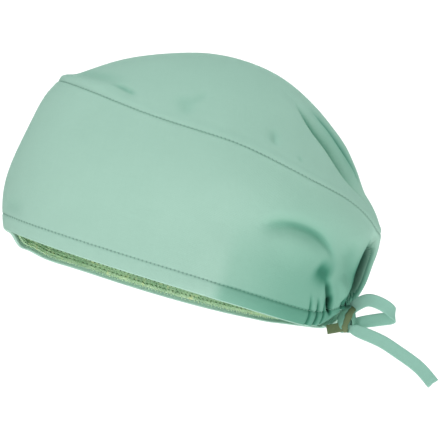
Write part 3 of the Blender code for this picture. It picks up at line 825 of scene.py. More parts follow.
def pile_tree(title: str) -> bpy.types.NodeTree:
    """Tree that stands a yarn loop on each corner of a grid, with the inputs Loop height, Yarn, Seed and Pile."""
    grower = Grower(title, {"Ground": "Geometry", "Loop height": "Float", "Yarn": "Float", "Seed": "Int",
                            "Pile": "Material"}, "Loops")
    given, lean, half_turn = grower.given, 0.25, 3.14
    keep = grower.tree.nodes.new("GeometryNodeCaptureAttribute")
    keep.capture_items.new("VECTOR", "Normal")
    grower.join(keep, {"Geometry": given["Ground"], "Normal": grower.add("GeometryNodeInputNormal", {})})
    spots = grower.add("GeometryNodeMeshToPoints", {"Mesh": keep})
    arch = grower.add("GeometryNodeCurveArc", {"Resolution": 5, "Start Angle": 0.0, "Sweep Angle": math.pi,
                                               "Radius": given["Loop height"]})
    section = grower.add("GeometryNodeCurvePrimitiveCircle", {"Resolution": 4, "Radius": given["Yarn"]})
    tube = grower.add("GeometryNodeCurveToMesh", {"Curve": arch, "Profile Curve": section})
    stand = grower.add("GeometryNodeTransform", {"Geometry": tube, "Rotation": (math.pi / 2, 0.0, 0.0)})
    soft = grower.add("GeometryNodeSetShadeSmooth", {"Geometry": stand})
    upright = grower.add("FunctionNodeAlignRotationToVector", {"Vector": keep.outputs["Normal"]}, axis="Z")
    spin = grower.add("FunctionNodeRandomValue", {0: (-lean, -lean, -half_turn), 1: (lean, lean, half_turn),
                                                  "Seed": given["Seed"]}, data_type="FLOAT_VECTOR")
    local = grower.add("FunctionNodeRotateRotation", {0: upright, 1: spin}, rotation_space="LOCAL")
    return grower.lay({"Points": spots, "Instance": soft, "Rotation": local}, given["Pile"])


def grown(name: str, base: bpy.types.Object, tree: bpy.types.NodeTree, sizes: dict[str, Any]) -> bpy.types.Object:
    """Runs a tree on a base piece and keeps the result as a plain mesh.

    Args:
        name: Name of the new piece.
        base: Guide that the tree reads. It is removed.
        tree: The Geometry Nodes tree.
        sizes: Values of the tree's inputs by their names.

    Returns:
        The new piece.
    """
    modifier = base.modifiers.new("grow", "NODES")
    modifier.node_group = tree
    sockets = {item.name: item.identifier for item in tree.interface.items_tree if item.in_out == "INPUT"}
    for label, value in sizes.items():
        modifier[sockets[label]] = value
    graph = bpy.context.evaluated_depsgraph_get()
    mesh = bpy.data.meshes.new_from_object(base.evaluated_get(graph), depsgraph=graph)
    mesh.name = name
    made = placed(name, mesh)
    guide = base.data
    base.modifiers.remove(modifier)
    bpy.data.objects.remove(base)
    bpy.data.meshes.remove(guide)
    return made


def guide_piece(points: Array, edges: Sequence[Any], faces: Sequence[Any]) -> bpy.types.Object:
    """A base for a tree to read."""
    mesh = bpy.data.meshes.new("guide")
    mesh.from_pydata(points.tolist(), edges, faces)
    return placed("guide", mesh)


class SeamMaker:
    """Sews stitches along paths with one tree and one thread."""

    def __init__(self, thread: bpy.types.Material) -> None:
        """Builds the tree."""
        self.tree, self.thread = sewing_tree("stitches along a path"), thread

    def sew(self, name: str, points: Array, closed: bool, pitch: float, length: float,
            thickness: float) -> bpy.types.Object:
        """Stitches along the points.

        Args:
            name: Name of the piece.
            points: The path that the thread follows.
            closed: Whether the path closes.
            pitch: Distance from one stitch to the next.
            length: Length of one stitch.
            thickness: Thickness of the thread.

        Returns:
            The stitches as one piece.
        """
        count = len(points)
        edges = [(i, (i + 1) % count) for i in range(count if closed else count - 1)]
        return grown(name, guide_piece(points, edges, []), self.tree,
                     {"Pitch": pitch, "Length": length, "Thickness": thickness, "Thread": self.thread})


def plane(along: Array, up: Array) -> Array:
    """Grid of UV pairs from a row of places along and a column of places up."""
    return np.stack(np.broadcast_arrays(along[None, :], up[:, None]), -1)


def beside(tone: Array, rows_after: int) -> Array:
    """UV pairs of a painted shade tone for a closed wall: the outer face, the inner face at half of it and rows with
    none.
    """
    full = np.concatenate([tone, tone[::-1] * 0.5, np.zeros((rows_after, tone.shape[1]))])
    full = np.concatenate([full, full[:, :1]], 1)
    return np.stack([full, np.zeros(full.shape)], -1)


def dress(piece: bpy.types.Object, slot: Slot, *nodes: str) -> None:
    """Lets a piece ride on the cap and hides the nodes that it stands for."""
    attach(piece, "root")
    if nodes:
        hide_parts(*nodes)
    log.info("%s: %d corners", piece.name, len(piece.data.vertices))


class Swell(NamedTuple):
    """Low ridge beside the crown seam: its rise, its distance from the seam and its spread."""

    rise: float
    place: float
    spread: float


@dataclass(frozen=True)
class Cloth:
    """Thicknesses that the cloth pieces share, and how stitches draw them in."""

    single: float = 0.0012
    hem: float = 0.0022
    hem_height: float = 0.0105
    hem_edge: float = 0.0010
    groove_side: float = 0.00025
    groove_back: float = 0.00075
    groove_corner: float = 0.00050
    groove_spread: float = 0.00060
    back_starts: Span = (22, 34)
    back_ends: Span = (68, 80)
    corner_starts: Span = (150, 166)
    edge_dip: float = 0.00028
    edge_spread: float = 0.0006
    allowance: float = 0.0008
    allowance_ends: Span = (0.0084, 0.0090)
    stitch_reach: float = 0.004

    def groove(self, angle: Array) -> Array:
        """Depth that the hem's stitches draw in, deeper at the gathered back and at the front corners."""
        turned = from_back(angle)
        back = ease(turned, *self.back_starts) * fall(turned, *self.back_ends)
        corner = ease(turned, *self.corner_starts)
        return (self.groove_side + (self.groove_back - self.groove_side) * back
                + (self.groove_corner - self.groove_side) * corner)

    def by_seam(self, to_seam: Array, swell: Swell) -> Array:
        """How far the outer face stands out beside the crown seam."""
        return (swell.rise * hump(to_seam - swell.place, swell.spread)
                - self.edge_dip * hump(to_seam, self.edge_spread))

    def seam_depth(self, to_seam: Array) -> Array:
        """Extra thickness of the cloth folded back at the seam."""
        return self.allowance * fall(to_seam, *self.allowance_ends)


@dataclass(frozen=True)
class GatheredShade:
    """Painted shade on the back of the band, where the tie gathers the cloth: strongest on the hem's tunnel and soft
    higher up.
    """

    reach: Span = (69, 75)
    wide_reach: Span = (40, 80)
    low_tone: float = 0.11
    low_ends: Span = (0.022, 0.060)
    hem_tone: float = 0.14
    hem_ends: Span = (0.0095, 0.0125)
    wide_tone: float = 0.22
    wide_ends: Span = (0.045, 0.110)

    def tone(self, angle: Array, height: Array) -> Array:
        """Painted shade at these angles and heights above the rim."""
        turned = from_back(angle)
        low = self.low_tone * fall(height, *self.low_ends) + self.hem_tone * fall(height, *self.hem_ends)
        return (fall(turned, *self.reach) * low
                + fall(turned, *self.wide_reach) * self.wide_tone * fall(height, *self.wide_ends))


@dataclass(frozen=True)
class Neck:
    """How the tunnel of the hem narrows where the tie comes out of it at the back."""

    outer_degrees: float = 27.0
    inner_degrees: float = 9.0
    rim_lift: float = 0.0058
    hem_drop: float = 0.0022

    def share(self, angle: Array) -> Array:
        """0 away from the tie to 1 at it."""
        return fall(from_back(angle), self.inner_degrees, self.outer_degrees)


@dataclass(frozen=True)
class SideBand:
    """Band from the rim to the seam, with its hem turned up inside as a tunnel for the tie. Rows are in mm."""

    form: CapForm
    cloth: Cloth
    neck: Neck
    # painted shade of the gathered back
    gathers: GatheredShade
    columns: int = 440
    rows: int = 56
    stitch_pitch: float = 0.0027
    stitch_length: float = 0.0021
    stitch_thickness: float = 0.00030
    hem_thread_lift: float = 0.00012
    seam_thread_lift: float = 0.00010
    puff_front: float = 0.00025
    puff_back: float = 0.0012
    puff_span: Span = (0.45, 0.75)
    tunnel_power: float = 0.7
    roll: float = 0.0009
    roll_steps: tuple[Span, ...] = ((0.85, 0.5), (0.5, 0.8), (0.15, 0.5))
    under_level: float = -0.004
    inner_shift: float = 0.2
    swell: Swell = Swell(0.00025, 0.0022, 0.0014)
    hem_rows: tuple[float, ...] = (0.9, 1.3, 1.8, 2.4, 3.8, 5.2, 6.6, 7.8, 8.7, 9.3, 9.8, 10.15, 10.5, 10.85, 11.2,
                                   11.8, 12.6, 13.8)
    seam_rows: tuple[float, ...] = (9.6, 9.0, 8.4, 6.0, 4.0, 2.8, 2.0, 1.4, 0.95, 0.6, 0.3, 0.02)

    def hem_heights(self, angle: Array, heights: Array) -> Array:
        """Heights up the hem, squeezed together where the tunnel narrows."""
        low = self.neck.rim_lift * self.neck.share(angle)
        high = self.cloth.hem_height - self.neck.hem_drop * self.neck.share(angle)
        share = heights[:, None] / self.cloth.hem_height
        return np.where(share <= 1, low + (high - low) * share, high + heights[:, None] - self.cloth.hem_height)

    def levels(self, angle: Array, heights: Array, below: Array) -> Array:
        """Levels of the rows: the hem's heights, the open field and the rows close below the seam."""
        hem = np.stack([self.form.level_at_height(angle, row) for row in self.hem_heights(angle, heights)])
        seam = self.form.seam_level(angle)
        top = np.stack([seam - self.form.level_step(angle, seam, row) for row in below])
        share = np.linspace(0, 1, self.rows + 2)[1:-1, None]
        return np.concatenate([hem, hem[-1] + (top[0] - hem[-1]) * share, top])

    def push(self, angle: Array, height: Array, to_seam: Array) -> Array:
        """How far the outer face stands out of the plain form: the tunnel's puff, the seam and the hem's groove."""
        puff = self.puff_front + (self.puff_back - self.puff_front) * ease((1 + np.cos(angle)) / 2, *self.puff_span)
        tunnel = np.sin(math.pi * np.clip(height / self.cloth.hem_height, 0, 1)) ** self.tunnel_power
        line = hump(height - self.cloth.hem_height, self.cloth.groove_spread)
        return (tunnel[:, None] * puff + self.cloth.by_seam(to_seam, self.swell)[:, None]
                - line[:, None] * self.cloth.groove(angle))

    def rolled_rim(self, angle: Array, outer: Array, inner: Array) -> Array:
        """Rows that round the rim from the inner face to the outer one."""
        down = unit(self.form.smooth(angle, np.full(angle.shape, self.under_level))
                    - self.form.smooth(angle, np.zeros(angle.shape)))
        return np.stack([outer * (1 - a) + inner * a + down * b * self.roll for a, b in self.roll_steps])

    def build(self, look: bpy.types.Material) -> bpy.types.Object:
        """Outer face, rolled rim, turned-up hem, inner face and seam edge as one closed piece."""
        angle = self.form.ring_angles(self.columns)
        heights, below = np.array(self.hem_rows) * MM, np.array(self.seam_rows) * MM
        level = self.levels(angle, heights, below)
        rows = len(level)
        height = np.concatenate([heights, np.full(rows - len(heights), FAR)])
        to_seam = np.concatenate([np.full(rows - len(below), FAR), below])
        angles = np.broadcast_to(angle, level.shape)
        normals = self.form.outward(angles, level)
        outer = self.form.points(angles, level) + normals * self.push(angle, height, to_seam)[..., None]
        hem_share = fall(height, self.cloth.hem_height, self.cloth.hem_height + self.cloth.hem_edge)
        depth = (self.cloth.single + (self.cloth.hem - self.cloth.single) * hem_share
                 + self.cloth.seam_depth(to_seam))
        inner = outer - normals * depth[:, None, None]
        rim = self.rolled_rim(angle, outer[0], inner[0])
        along = round_lengths(outer[np.abs(heights - self.cloth.hem_height).argmin()])
        up = arc_lengths(outer[:, self.columns // 4])
        climb = np.concatenate([up, up[::-1] + self.inner_shift, np.zeros(len(rim)), up[:1]])
        reach = self.cloth.stitch_reach
        off = np.minimum(np.minimum(np.abs(height - self.cloth.hem_height), to_seam), reach)
        off = np.concatenate([off, np.full(rows + len(rim) + 1, reach)])
        # painted shade of the folds and of the gathered back, half as strong on the inner face
        tone = np.clip(self.form.tone(angles, level) + self.gathers.tone(angles, up[:, None]), 0, 1)
        made = grid_piece("band_cloth", np.concatenate([outer, inner[::-1], rim]), look, True, True,
                          {"Cloth": plane(along, climb), "Stitch": plane(along, off),
                           "Crease": beside(tone, len(rim) + 1)})
        dress(made, Slot.MINT, "side_band")
        return made

    def hem_line(self) -> Array:
        """Path of the hem's stitches, just out of the groove."""
        angle = self.form.ring_angles(self.columns)
        height = self.hem_heights(angle, np.array([self.cloth.hem_height]))[0]
        return self.form.points(angle, self.form.level_at_height(angle, height),
                                self.cloth.groove(angle) - self.hem_thread_lift)

    def seam_line(self) -> Array:
        """Path of the seam's stitches, just out of the seam's dip."""
        angle = self.form.ring_angles(self.columns)
        return self.form.points(angle, self.form.seam_level(angle), self.cloth.edge_dip - self.seam_thread_lift)

    def sew(self, maker: SeamMaker) -> list[bpy.types.Object]:
        """Stitches of the hem and of the crown seam."""
        made = []
        for name, path in (("hem_stitches", self.hem_line()), ("seam_stitches", self.seam_line())):
            piece = maker.sew(name, path, True, self.stitch_pitch, self.stitch_length, self.stitch_thickness)
            dress(piece, Slot.MINT)
            made.append(piece)
        return made


@dataclass(frozen=True)
class CrownPanel:
    """Dome above the seam, in one piece of cloth. Rows are in mm."""

    form: CapForm
    cloth: Cloth
    columns: int = 440
    rows: int = 52
    row_power: float = 0.92
    inner_shift: float = 0.5
    swell: Swell = Swell(0.0006, 0.0030, 0.0022)
    seam_rows: tuple[float, ...] = (0.02, 0.3, 0.6, 0.95, 1.4, 2.0, 2.8, 4.0, 6.0, 8.4, 9.0, 9.6)
    stitch_row: int = 4

    def build(self, look: bpy.types.Material) -> bpy.types.Object:
        """Outer and inner face, closed at the top, as one piece."""
        angle = self.form.ring_angles(self.columns)
        above = np.array(self.seam_rows) * MM
        seam = self.form.seam_level(angle)
        low = np.stack([seam + self.form.level_step(angle, seam, row) for row in above])
        share = np.linspace(0, 1, self.rows + 1)[1:, None] ** self.row_power
        level = np.concatenate([low, low[-1] + (1 - low[-1]) * share])
        level[-1] = 1.0
        rows = len(level)
        angles = np.broadcast_to(angle, level.shape)
        to_seam = np.concatenate([above, np.full(rows - len(above), FAR)])
        normals = self.form.outward(angles, level)
        outer = self.form.points(angles, level) + normals * self.cloth.by_seam(to_seam, self.swell)[:, None, None]
        inner = outer - normals * (self.cloth.single + self.cloth.seam_depth(to_seam))[:, None, None]
        steps = np.linalg.norm(np.diff(outer, axis=0), axis=-1)
        reach = np.concatenate([np.cumsum(steps[::-1], axis=0)[::-1], np.zeros((1, self.columns))])
        polar = np.stack([reach * np.sin(angle), -reach * np.cos(angle)], -1)
        polar = np.concatenate([polar, polar[::-1] + self.inner_shift, polar[:1]])
        polar = np.concatenate([polar, polar[:, :1]], 1)
        along = round_lengths(outer[self.stitch_row])
        off = np.concatenate([np.minimum(to_seam, self.cloth.stitch_reach),
                              np.full(rows + 1, self.cloth.stitch_reach)])
        # painted shade of the folds, half as strong on the inner face
        made = grid_piece("crown_cloth", np.concatenate([outer, inner[::-1]]), look, True, True,
                          {"Cloth": polar, "Stitch": plane(along, off),
                           "Crease": beside(self.form.tone(angles, level), 1)})
        dress(made, Slot.MINT, "crown_panel")
        return made


@dataclass(frozen=True)
class Sweatband:
    """Towelling strip inside the hem, from one end by the gathers round the front to the other."""

    form: CapForm
    lift: float = 0.0020
    height: float = 0.030
    near: float = 0.0027
    thickness: float = 0.0016
    face_inset: float = 0.0011
    edge_inset: float = 0.0008
    end_degrees: float = 42.0
    columns: int = 300
    rows: int = 20
    measure_columns: int = 200
    loop_height: float = 0.00075
    loop_yarn: float = 0.00028
    loop_pitch: float = 0.0017
    loop_inset: float = 0.0003
    loop_sink: float = 0.0001
    loop_seed: int = 7
    stitch_rows: tuple[float, float] = (0.0030, 0.0058)
    stitch_pitch: float = 0.0030
    stitch_length: float = 0.0014
    stitch_thickness: float = 0.00065
    stitch_share: float = 0.6

    def angles(self, columns: int) -> Array:
        """Angles from one end of the strip to the other."""
        end = math.radians(self.end_degrees)
        return np.linspace(end, 2 * math.pi - end, columns)

    def face(self, columns: int, rows: int, inset: float, depth: float) -> Array:
        """Grid of points over the strip, at a depth inside the cap's outer face."""
        angle = self.angles(columns)
        low = self.form.level_at_height(angle, self.lift + inset)
        high = self.form.level_at_height(angle, self.lift + self.height - inset)
        level = low + (high - low) * np.linspace(0, 1, rows)[:, None]
        return self.form.points(np.broadcast_to(angle, level.shape), level, depth)

    def build(self, look: bpy.types.Material) -> bpy.types.Object:
        """The strip's ground cloth with rounded edges."""
        outer, inner = (self.face(self.columns, self.rows, self.face_inset, self.near + depth)
                        for depth in (0.0, self.thickness))
        middle = (outer + inner) / 2
        edges = self.face(self.columns, self.rows, self.edge_inset, self.near + self.thickness / 2)
        low, high = edges[:1], edges[-1:]
        points = np.concatenate([outer, high, inner[::-1], low])
        centre = np.concatenate([middle, high, middle[::-1], low])
        shrink = np.ones(self.columns)
        shrink[[0, -1]] = 0.0
        points = centre + (points - centre) * shrink[:, None]
        climb = np.concatenate([np.linspace(0, self.height, len(points)), [self.height]])
        made = grid_piece("towelling_ground", points, look, True, False,
                          {"Cloth": plane(arc_lengths(middle[0]), climb)})
        dress(made, Slot.TOWELLING, "sweatband")
        return made

    def pile(self, look: bpy.types.Material) -> bpy.types.Object:
        """Yarn loops over the strip's inner face."""
        length = arc_lengths(self.face(self.measure_columns, 2, 0.0, self.near)[0])[-1]
        points = self.face(int(length / self.loop_pitch), int(self.height / self.loop_pitch), self.loop_inset,
                           self.near + self.thickness - self.loop_sink)
        rows, columns = points.shape[:2]
        quads = grid_faces(rows, columns, False, False)[:, ::-1]
        base = guide_piece(points.reshape(-1, 3), [], (quads[..., 0] * columns + quads[..., 1]).tolist())
        made = grown("towelling_loops", base, pile_tree("yarn loops on a face"),
                     {"Loop height": self.loop_height, "Yarn": self.loop_yarn, "Seed": self.loop_seed, "Pile": look})
        dress(made, Slot.TOWELLING)
        return made

    def sew(self, maker: SeamMaker) -> bpy.types.Object:
        """Quilting stitches in two rows along the visible part of the strip."""
        angle, parts = self.angles(self.columns), []
        for height in self.stitch_rows:
            level = self.form.level_at_height(angle, self.lift + height)
            row = self.form.points(angle, level, self.near + self.thickness + self.loop_height * self.stitch_share)
            parts.append(maker.sew("row", row, False, self.stitch_pitch, self.stitch_length, self.stitch_thickness))
        with bpy.context.temp_override(active_object=parts[0], selected_editable_objects=parts):
            bpy.ops.object.join()
        parts[0].name = "towelling_stitches"
        dress(parts[0], Slot.TOWELLING)
        return parts[0]


class Tape(NamedTuple):
    """A flat tape: its centreline, the direction of its width, its width and its thickness."""

    path: Array
    across: Array
    width: Array
    thickness: Array


class Strand(NamedTuple):
    """One folded strand that wraps round the knot. Sizes are in mm."""

    name: str
    is_olive: bool
    width: float
    thickness: float
    cup: float
    knots: tuple[Point, ...]


# Routes of the tie, in mm from the knot's centre.
BOW_ROUTE = ((0.4, 1.2, 4.0), (1.2, 4.1, 6.6), (2.0, 6.7, 9.0), (3.0, 12.6, 11.7), (3.6, 18.5, 11.2),
         (3.4, 24.2, 8.6), (2.5, 28.3, 5.7), (0.4, 30.6, 3.3), (-2.4, 30.8, 1.9), (-4.8, 27.9, 0.9),
         (-5.4, 22.1, 0.3), (-4.8, 15.0, -0.6), (-3.6, 9.0, -1.5), (-3.0, 4.6, -2.3), (-1.6, 1.2, -3.0))
FREE_ROUTE = ((0.8, 0.8, -4.2), (1.7, 3.4, -6.2), (2.2, 6.6, -7.4), (3.0, 12.5, -9.9), (4.0, 22.9, -14.7),
         (4.5, 32.5, -21.0), (4.5, 42.7, -28.3), (4.0, 49.7, -34.7), (3.0, 55.9, -42.4))
SHORT_ROUTE = ((1.6, 0.6, -4.2), (3.8, -2.7, -5.1), (5.6, -8.0, -6.2), (6.2, -12.1, -6.9))
STRANDS = (
    Strand("knot_front", False, 4.4, 1.5, -0.5, ((-1.5, 2.2, 7.6), (1.8, 1.0, 7.4), (4.0, -0.8, 5.0),
         (4.8, -2.6, 0.8), (4.2, -3.8, -3.6), (2.4, -4.2, -6.6), (-0.8, -3.0, -7.2))),
    Strand("knot_second", True, 4.2, 1.5, -0.5, ((-1.8, 4.2, 6.2), (1.4, 4.4, 6.8), (3.8, 3.6, 5.0),
         (5.0, 1.8, 1.2), (4.9, 0.0, -2.8), (3.4, -1.2, -6.2), (0.4, -1.0, -7.6))),
    Strand("knot_side", False, 4.0, 1.3, -0.3, ((-1.0, 1.4, 8.0), (1.6, 3.2, 7.6), (2.9, 4.5, 4.4),
         (3.0, 4.9, 0.6), (1.8, 4.9, -2.6), (-0.6, 4.4, -4.4))),
    Strand("knot_wrap", False, 5.2, 1.5, -0.4, ((1.0, -4.6, 2.0), (-2.4, -4.2, 2.6), (-4.6, -1.4, 2.0),
         (-4.6, 2.0, 0.8), (-2.6, 4.6, -0.6), (0.6, 4.9, -2.0))),
    Strand("knot_under", False, 4.6, 1.5, -0.4, ((-1.6, -3.6, 5.2), (-4.2, -1.0, 5.0), (-4.4, 1.6, -2.6),
         (-3.0, 2.0, -6.2), (0.2, 1.2, -7.6))),
)


@dataclass(frozen=True)
class Tie:
    """Tie at the centre back: a knot of folded strands, a bow loop, a hanging end and a short end."""

    centre: Array
    tape_width: float = 0.0083
    tape_thickness: float = 0.0012
    stub_width: float = 0.0061
    steps: int = 12
    section: int = 28
    side_power: float = 0.45
    face_power: float = 0.75
    seam_depth: float = 0.10
    seam_place: float = 0.62
    seam_spread: float = 0.10
    notch_place: float = -0.15
    notch_spread: float = 0.14
    notch_length: float = 0.003
    bow_cup: float = 0.0003
    bow_pinches: tuple[Span, Span] = ((0.30, 0.10), (0.35, 0.12))
    free_cup: float = 0.0002
    free_notch: float = 0.0012
    free_pinch: Span = (0.58, 0.18)
    free_swell: float = 0.35
    free_swell_span: Span = (0.93, 0.96)
    core_size: Point = (0.0074, 0.0078, 0.0128)

    def route(self, knots: Sequence[Point]) -> Array:
        """Dense centreline through a route's points, which are in mm from the knot's centre."""
        at = np.linspace(0, len(knots) - 1, (len(knots) - 1) * self.steps + 1)
        numbers = np.arange(len(knots))
        columns = (np.array(knots) * MM).T
        return self.centre + np.stack([smooth_through(numbers, values, at) for values in columns], -1)

    def upright(self, path: Array) -> Array:
        """Width directions that stand upright across the path."""
        forward = unit(np.gradient(path, axis=0))
        up = np.array([0.0, 0.0, 1.0])
        return unit(up - forward * (forward @ up)[:, None])

    def strip(self, name: str, tape: Tape, look: bpy.types.Material, slot: Slot, nodes: Sequence[str],
              cup: float = 0.0, notch: float = 0.0) -> bpy.types.Object:
        """Makes a flat tape with rounded folds along its edges.

        Args:
            name: Name of the piece.
            tape: Its shape.
            look: Its material.
            slot: Not used.
            nodes: CAD nodes that it stands for.
            cup: How far its middle sinks, in metres.
            notch: Depth of the notch in its far end.

        Returns:
            The piece.
        """
        turn = np.arange(self.section) / self.section * 2 * math.pi
        wide = np.sign(np.cos(turn)) * np.abs(np.cos(turn)) ** self.side_power
        thick = np.sign(np.sin(turn)) * np.abs(np.sin(turn)) ** self.face_power
        forward = unit(np.gradient(tape.path, axis=0))
        out = np.cross(forward, tape.across)
        lengths = arc_lengths(tape.path)
        ends = np.sqrt(np.clip(np.minimum(lengths, lengths[-1] - lengths) / (self.tape_thickness / 2), 0, 1))
        seam = self.seam_depth * hump(wide - self.seam_place, self.seam_spread)
        sides = tape.width[:, None] / 2 * wide
        faces = tape.thickness[:, None] / 2 * thick * (1 - seam) * ends[:, None] - cup * (1 - wide**2)
        points = tape.path[:, None] + tape.across[:, None] * sides[..., None] + out[:, None] * faces[..., None]
        if notch:
            dent = notch * hump(wide - self.notch_place, self.notch_spread)
            last = ease(lengths, lengths[-1] - self.notch_length, lengths[-1])
            points = points - forward[:, None] * (dent[None, :] * last[:, None])[..., None]
        made = grid_piece(name, points, look, False, True,
                          {"Cloth": plane(round_lengths(points[len(points) // 2]), lengths)})
        dress(made, slot, *nodes)
        return made

    def loop(self, look: bpy.types.Material) -> tuple[bpy.types.Object, Array]:
        """The bow's loop and its centreline."""
        path = self.route(BOW_ROUTE)
        share = np.linspace(0, 1, len(path))
        (near, near_spread), (far, far_spread) = self.bow_pinches
        width = self.tape_width * (1 - near * hump(share, near_spread) - far * hump(1 - share, far_spread))
        tape = Tape(path, self.upright(path), width, np.full(len(path), self.tape_thickness))
        return self.strip("bow_tape", tape, look, Slot.MINT, ("bow_loop",), self.bow_cup), path

    def hanging(self, look: bpy.types.Material) -> tuple[bpy.types.Object, Array]:
        """The hanging end and its centreline."""
        path = self.route(FREE_ROUTE)
        share = np.linspace(0, 1, len(path))
        pinch, spread = self.free_pinch
        width = self.tape_width * (1 - pinch * hump(share, spread))
        thickness = self.tape_thickness * (1 + self.free_swell * ease(share, *self.free_swell_span))
        tape = Tape(path, self.upright(path), width, thickness)
        return self.strip("hanging_tape", tape, look, Slot.MINT, ("free_end",), self.free_cup, self.free_notch), path

    def stub(self, look: bpy.types.Material) -> bpy.types.Object:
        """The short end under the tunnel's neck."""
        path = self.route(SHORT_ROUTE)
        width, thickness = np.full(len(path), self.stub_width), np.full(len(path), self.tape_thickness)
        return self.strip("short_tape", Tape(path, self.upright(path), width, thickness), look, Slot.OLIVE,
                          ("short_end",))

    def strand(self, strand: Strand, look: bpy.types.Material, slot: Slot) -> bpy.types.Object:
        """One folded strand that wraps round the knot, with wrinkles along it."""
        path = self.route(strand.knots)
        across = unit(np.cross(path - self.centre, unit(np.gradient(path, axis=0))))
        share = np.linspace(0, 1, len(path))
        wrinkle = 1 + 0.10 * np.sin(share * 19 + len(strand.name)) + 0.06 * np.sin(share * 43)
        tape = Tape(path, across, strand.width * MM * wrinkle, np.full(len(path), strand.thickness * MM))
        return self.strip(strand.name, tape, look, slot, (), strand.cup * MM)

    def core(self, look: bpy.types.Material) -> bpy.types.Object:
        """Lumpy core of the knot."""
        builder = bmesh.new()
        bmesh.ops.create_uvsphere(builder, u_segments=40, v_segments=28, radius=0.5)
        for vert in builder.verts:
            x, y, z = vert.co
            swell = 1 + 0.06 * math.sin(14 * z + 6 * y) + 0.04 * math.sin(17 * x - 9 * z)
            vert.co = [m + p * s * swell for m, p, s in zip(self.centre, (x, y, z), self.core_size)]
        layer = builder.loops.layers.uv.new("Cloth")
        for face in builder.faces:
            for corner in face.loops:
                corner[layer].uv = (corner.vert.co.y, corner.vert.co.z)
        mesh = bpy.data.meshes.new("knot_core")
        builder.to_mesh(mesh)
        builder.free()
        mesh.materials.append(look)
        mesh.shade_smooth()
        made = placed("knot_core", mesh)
        dress(made, Slot.MINT, "tie_knot")
        return made

    def knot(self, mint: bpy.types.Material, olive: bpy.types.Material) -> list[bpy.types.Object]:
        """Core and wrapped strands of the knot."""
        made = [self.core(mint)]
        for strand in STRANDS:
            look, slot = (olive, Slot.OLIVE) if strand.is_olive else (mint, Slot.MINT)
            made.append(self.strand(strand, look, slot))
        return made


class Panel(NamedTuple):
    """A square soft light that faces the cap."""

    name: str
    place: Point
    size: float
    power: float
    colour: Point


WARM, NEUTRAL, GREENISH = (1.0, 0.92, 0.96), (1.0, 0.97, 0.98), (0.86, 1.0, 0.94)
PANELS = (
    Panel("camera_left", (2.2, -1.0, 0.15), 1.3, 13.5, WARM),
    Panel("camera", (2.3, 0.1, 0.5), 1.3, 4.0, WARM),
    Panel("camera_right", (1.7, 1.7, 0.7), 1.3, 5.5, GREENISH),
    Panel("top", (0.1, -0.3, 2.3), 1.4, 24.0, WARM),
    Panel("low", (1.9, -0.9, -0.60), 1.1, 2.0, WARM),
    Panel("right", (-2.2, -0.5, 0.5), 1.5, 18.0, NEUTRAL),
    Panel("right_back", (-1.5, 1.9, 0.4), 1.3, 6.0, NEUTRAL),
    Panel("behind", (-0.4, 2.3, 0.4), 1.3, 9.0, WARM),
)


@dataclass(frozen=True)
class Studio:
    """Camera, glowing floor, soft panels all round the cap and a world that shows white."""

    turn_degrees: float = 9.0
    rise_degrees: float = -7.0
    distance: float = 2.4
    sensor: float = 36.0
    lens: float = 302.0
    clip: Span = (0.05, 30.0)
    shift_right: float = 0.0299
    shift_up: float = 0.0351
    aim: Point = (0.0, 0.0, 0.05)
    floor_drop: float = 1.60
    floor_half: float = 20.0
    floor_colour: Colour = (0.86, 0.86, 0.85, 1.0)
    world_light: Colour = (0.64, 1.0, 0.90, 1.0)
    world_strength: float = 0.18

    def camera(self) -> None:
        """Camera at the photograph's angle."""
        turn, rise = math.radians(self.turn_degrees), math.radians(self.rise_degrees)
        back = Vector((math.cos(turn) * math.cos(rise), math.sin(turn) * math.cos(rise), math.sin(rise)))
        right = Vector((-math.sin(turn), math.cos(turn), 0.0))
        up = right.cross(back) * -1.0
        data = bpy.data.cameras.new("camera")
        data.sensor_width, data.lens = self.sensor, self.lens
        data.clip_start, data.clip_end = self.clip
        made = placed("camera", data)
        place = back * self.distance + right * self.shift_right + up * self.shift_up
        made.matrix_world = Matrix.Translation(place) @ Matrix((right, up, back)).transposed().to_4x4()
        bpy.context.scene.camera = made

    def room(self) -> None:
        """World that the camera sees white while it lights the cap softly, and the pale floor."""
        world = bpy.data.worlds.new("studio")
        bpy.context.scene.world = world
        world.use_nodes = True
        tree = world.node_tree
        soft, shown = tree.nodes["Background"], tree.nodes.new("ShaderNodeBackground")
        for node, colour, strength in ((soft, self.world_light, self.world_strength), (shown, (1.0,) * 4, 1.0)):
            node.inputs["Color"].default_value, node.inputs["Strength"].default_value = colour, strength
        ray, mix = tree.nodes.new("ShaderNodeLightPath"), tree.nodes.new("ShaderNodeMixShader")
        tree.links.new(ray.outputs["Is Camera Ray"], mix.inputs[0])
        tree.links.new(soft.outputs[0], mix.inputs[1])
        tree.links.new(shown.outputs[0], mix.inputs[2])
        tree.links.new(mix.outputs[0], tree.nodes["World Output"].inputs["Surface"])
        half, low = self.floor_half, -self.floor_drop
        corners = np.array([(x * half, y * half, low) for x, y in ((-1, -1), (1, -1), (1, 1), (-1, 1))])
        look = FloorFinish("pale_floor", self.floor_colour).make()
        add_mesh("floor", corners, np.array([[0, 1, 2, 3]]), [look])

    def light(self) -> None:
        """Soft panels by the camera, under it, above, behind and on the far side."""
        for panel in PANELS:
            data = bpy.data.lights.new(panel.name, "AREA")
            data.size, data.energy, data.color = panel.size, panel.power, panel.colour
            made = placed(panel.name, data)
            made.location = panel.place
            made.rotation_mode = "QUATERNION"
            made.rotation_quaternion = (Vector(self.aim) - Vector(panel.place)).to_track_quat("-Z", "Y")


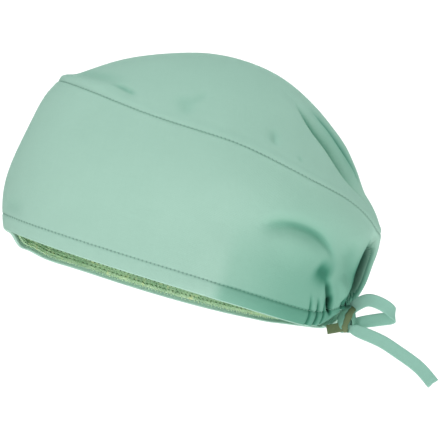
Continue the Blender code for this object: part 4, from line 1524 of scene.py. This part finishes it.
MINT_WEAVE = WovenFinish("mint_weave", (0.462, 0.680, 0.577, 1.0), (0.368, 0.582, 0.484, 1.0), is_sewn_and_shaded=True)
# A darker copy of the mint cloth for the tie's tapes: painted shade.
SHADED_MINT_TAPE = WovenFinish("mint_tape_painted_shade", (0.380, 0.63, 0.530, 1.0), (0.300, 0.535, 0.445, 1.0))
# A much darker copy of the mint cloth for the knot: painted shade in its folds.
SHADED_MINT_KNOT = WovenFinish("mint_knot_painted_shade", (0.24, 0.46, 0.36, 1.0), (0.17, 0.36, 0.28, 1.0))
OLIVE_WEAVE = WovenFinish("olive_weave", (0.22, 0.28, 0.16, 1.0), (0.14, 0.19, 0.10, 1.0))
MINT_THREAD = ThreadFinish("mint_thread", (0.32, 0.52, 0.43, 1.0), (0.24, 0.42, 0.34, 1.0))
OLIVE_THREAD = ThreadFinish("olive_thread", (0.18, 0.33, 0.15, 1.0), (0.11, 0.23, 0.10, 1.0))
TOWELLING = TowellingFinish("green_towelling", (0.70, 0.92, 0.62, 1.0), (0.46, 0.70, 0.46, 1.0),
                            (0.80, 0.90, 0.52, 1.0))


def build_tie() -> None:
    """The tie's tapes and knot."""
    low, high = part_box("tie_knot")
    tie, tape_mint, olive = Tie(np.array((low + high) / 2)), SHADED_MINT_TAPE.make(), OLIVE_WEAVE.make()
    loop, loop_path = tie.loop(tape_mint)
    hanging, hanging_path = tie.hanging(tape_mint)
    stub = tie.stub(olive)
    knot = tie.knot(SHADED_MINT_KNOT.make(), olive)
    loop_path[::3].tolist() + [loop_path[-1].tolist()]
    hanging_path[::3].tolist() + [hanging_path[-1].tolist()]


def build_cap() -> None:
    """The cap's three cloths with their stitches, and the towelling's yarn loops."""
    form, cloth = CapForm(), Cloth()
    band, crown, strip = SideBand(form, cloth, Neck(), GatheredShade()), CrownPanel(form, cloth), Sweatband(form)
    mint, towelling = MINT_WEAVE.make(), TOWELLING.make()
    band_piece, crown_piece = band.build(mint), crown.build(mint)
    strip_piece, loops = strip.build(towelling), strip.pile(towelling)
    stitches = band.sew(SeamMaker(MINT_THREAD.make()))
    strip_stitches = strip.sew(SeamMaker(OLIVE_THREAD.make()))


def main() -> None:
    """Builds the cap's pieces and the studio in order."""
    logging.basicConfig(level=logging.INFO, format="%(message)s")
    bpy.context.scene.view_settings.view_transform = "Standard"
    bpy.context.scene.view_settings.look = "Medium High Contrast"
    studio = Studio()
    studio.camera()
    build_tie()
    build_cap()
    studio.room()
    studio.light()


if __name__ == "__main__":
    main()
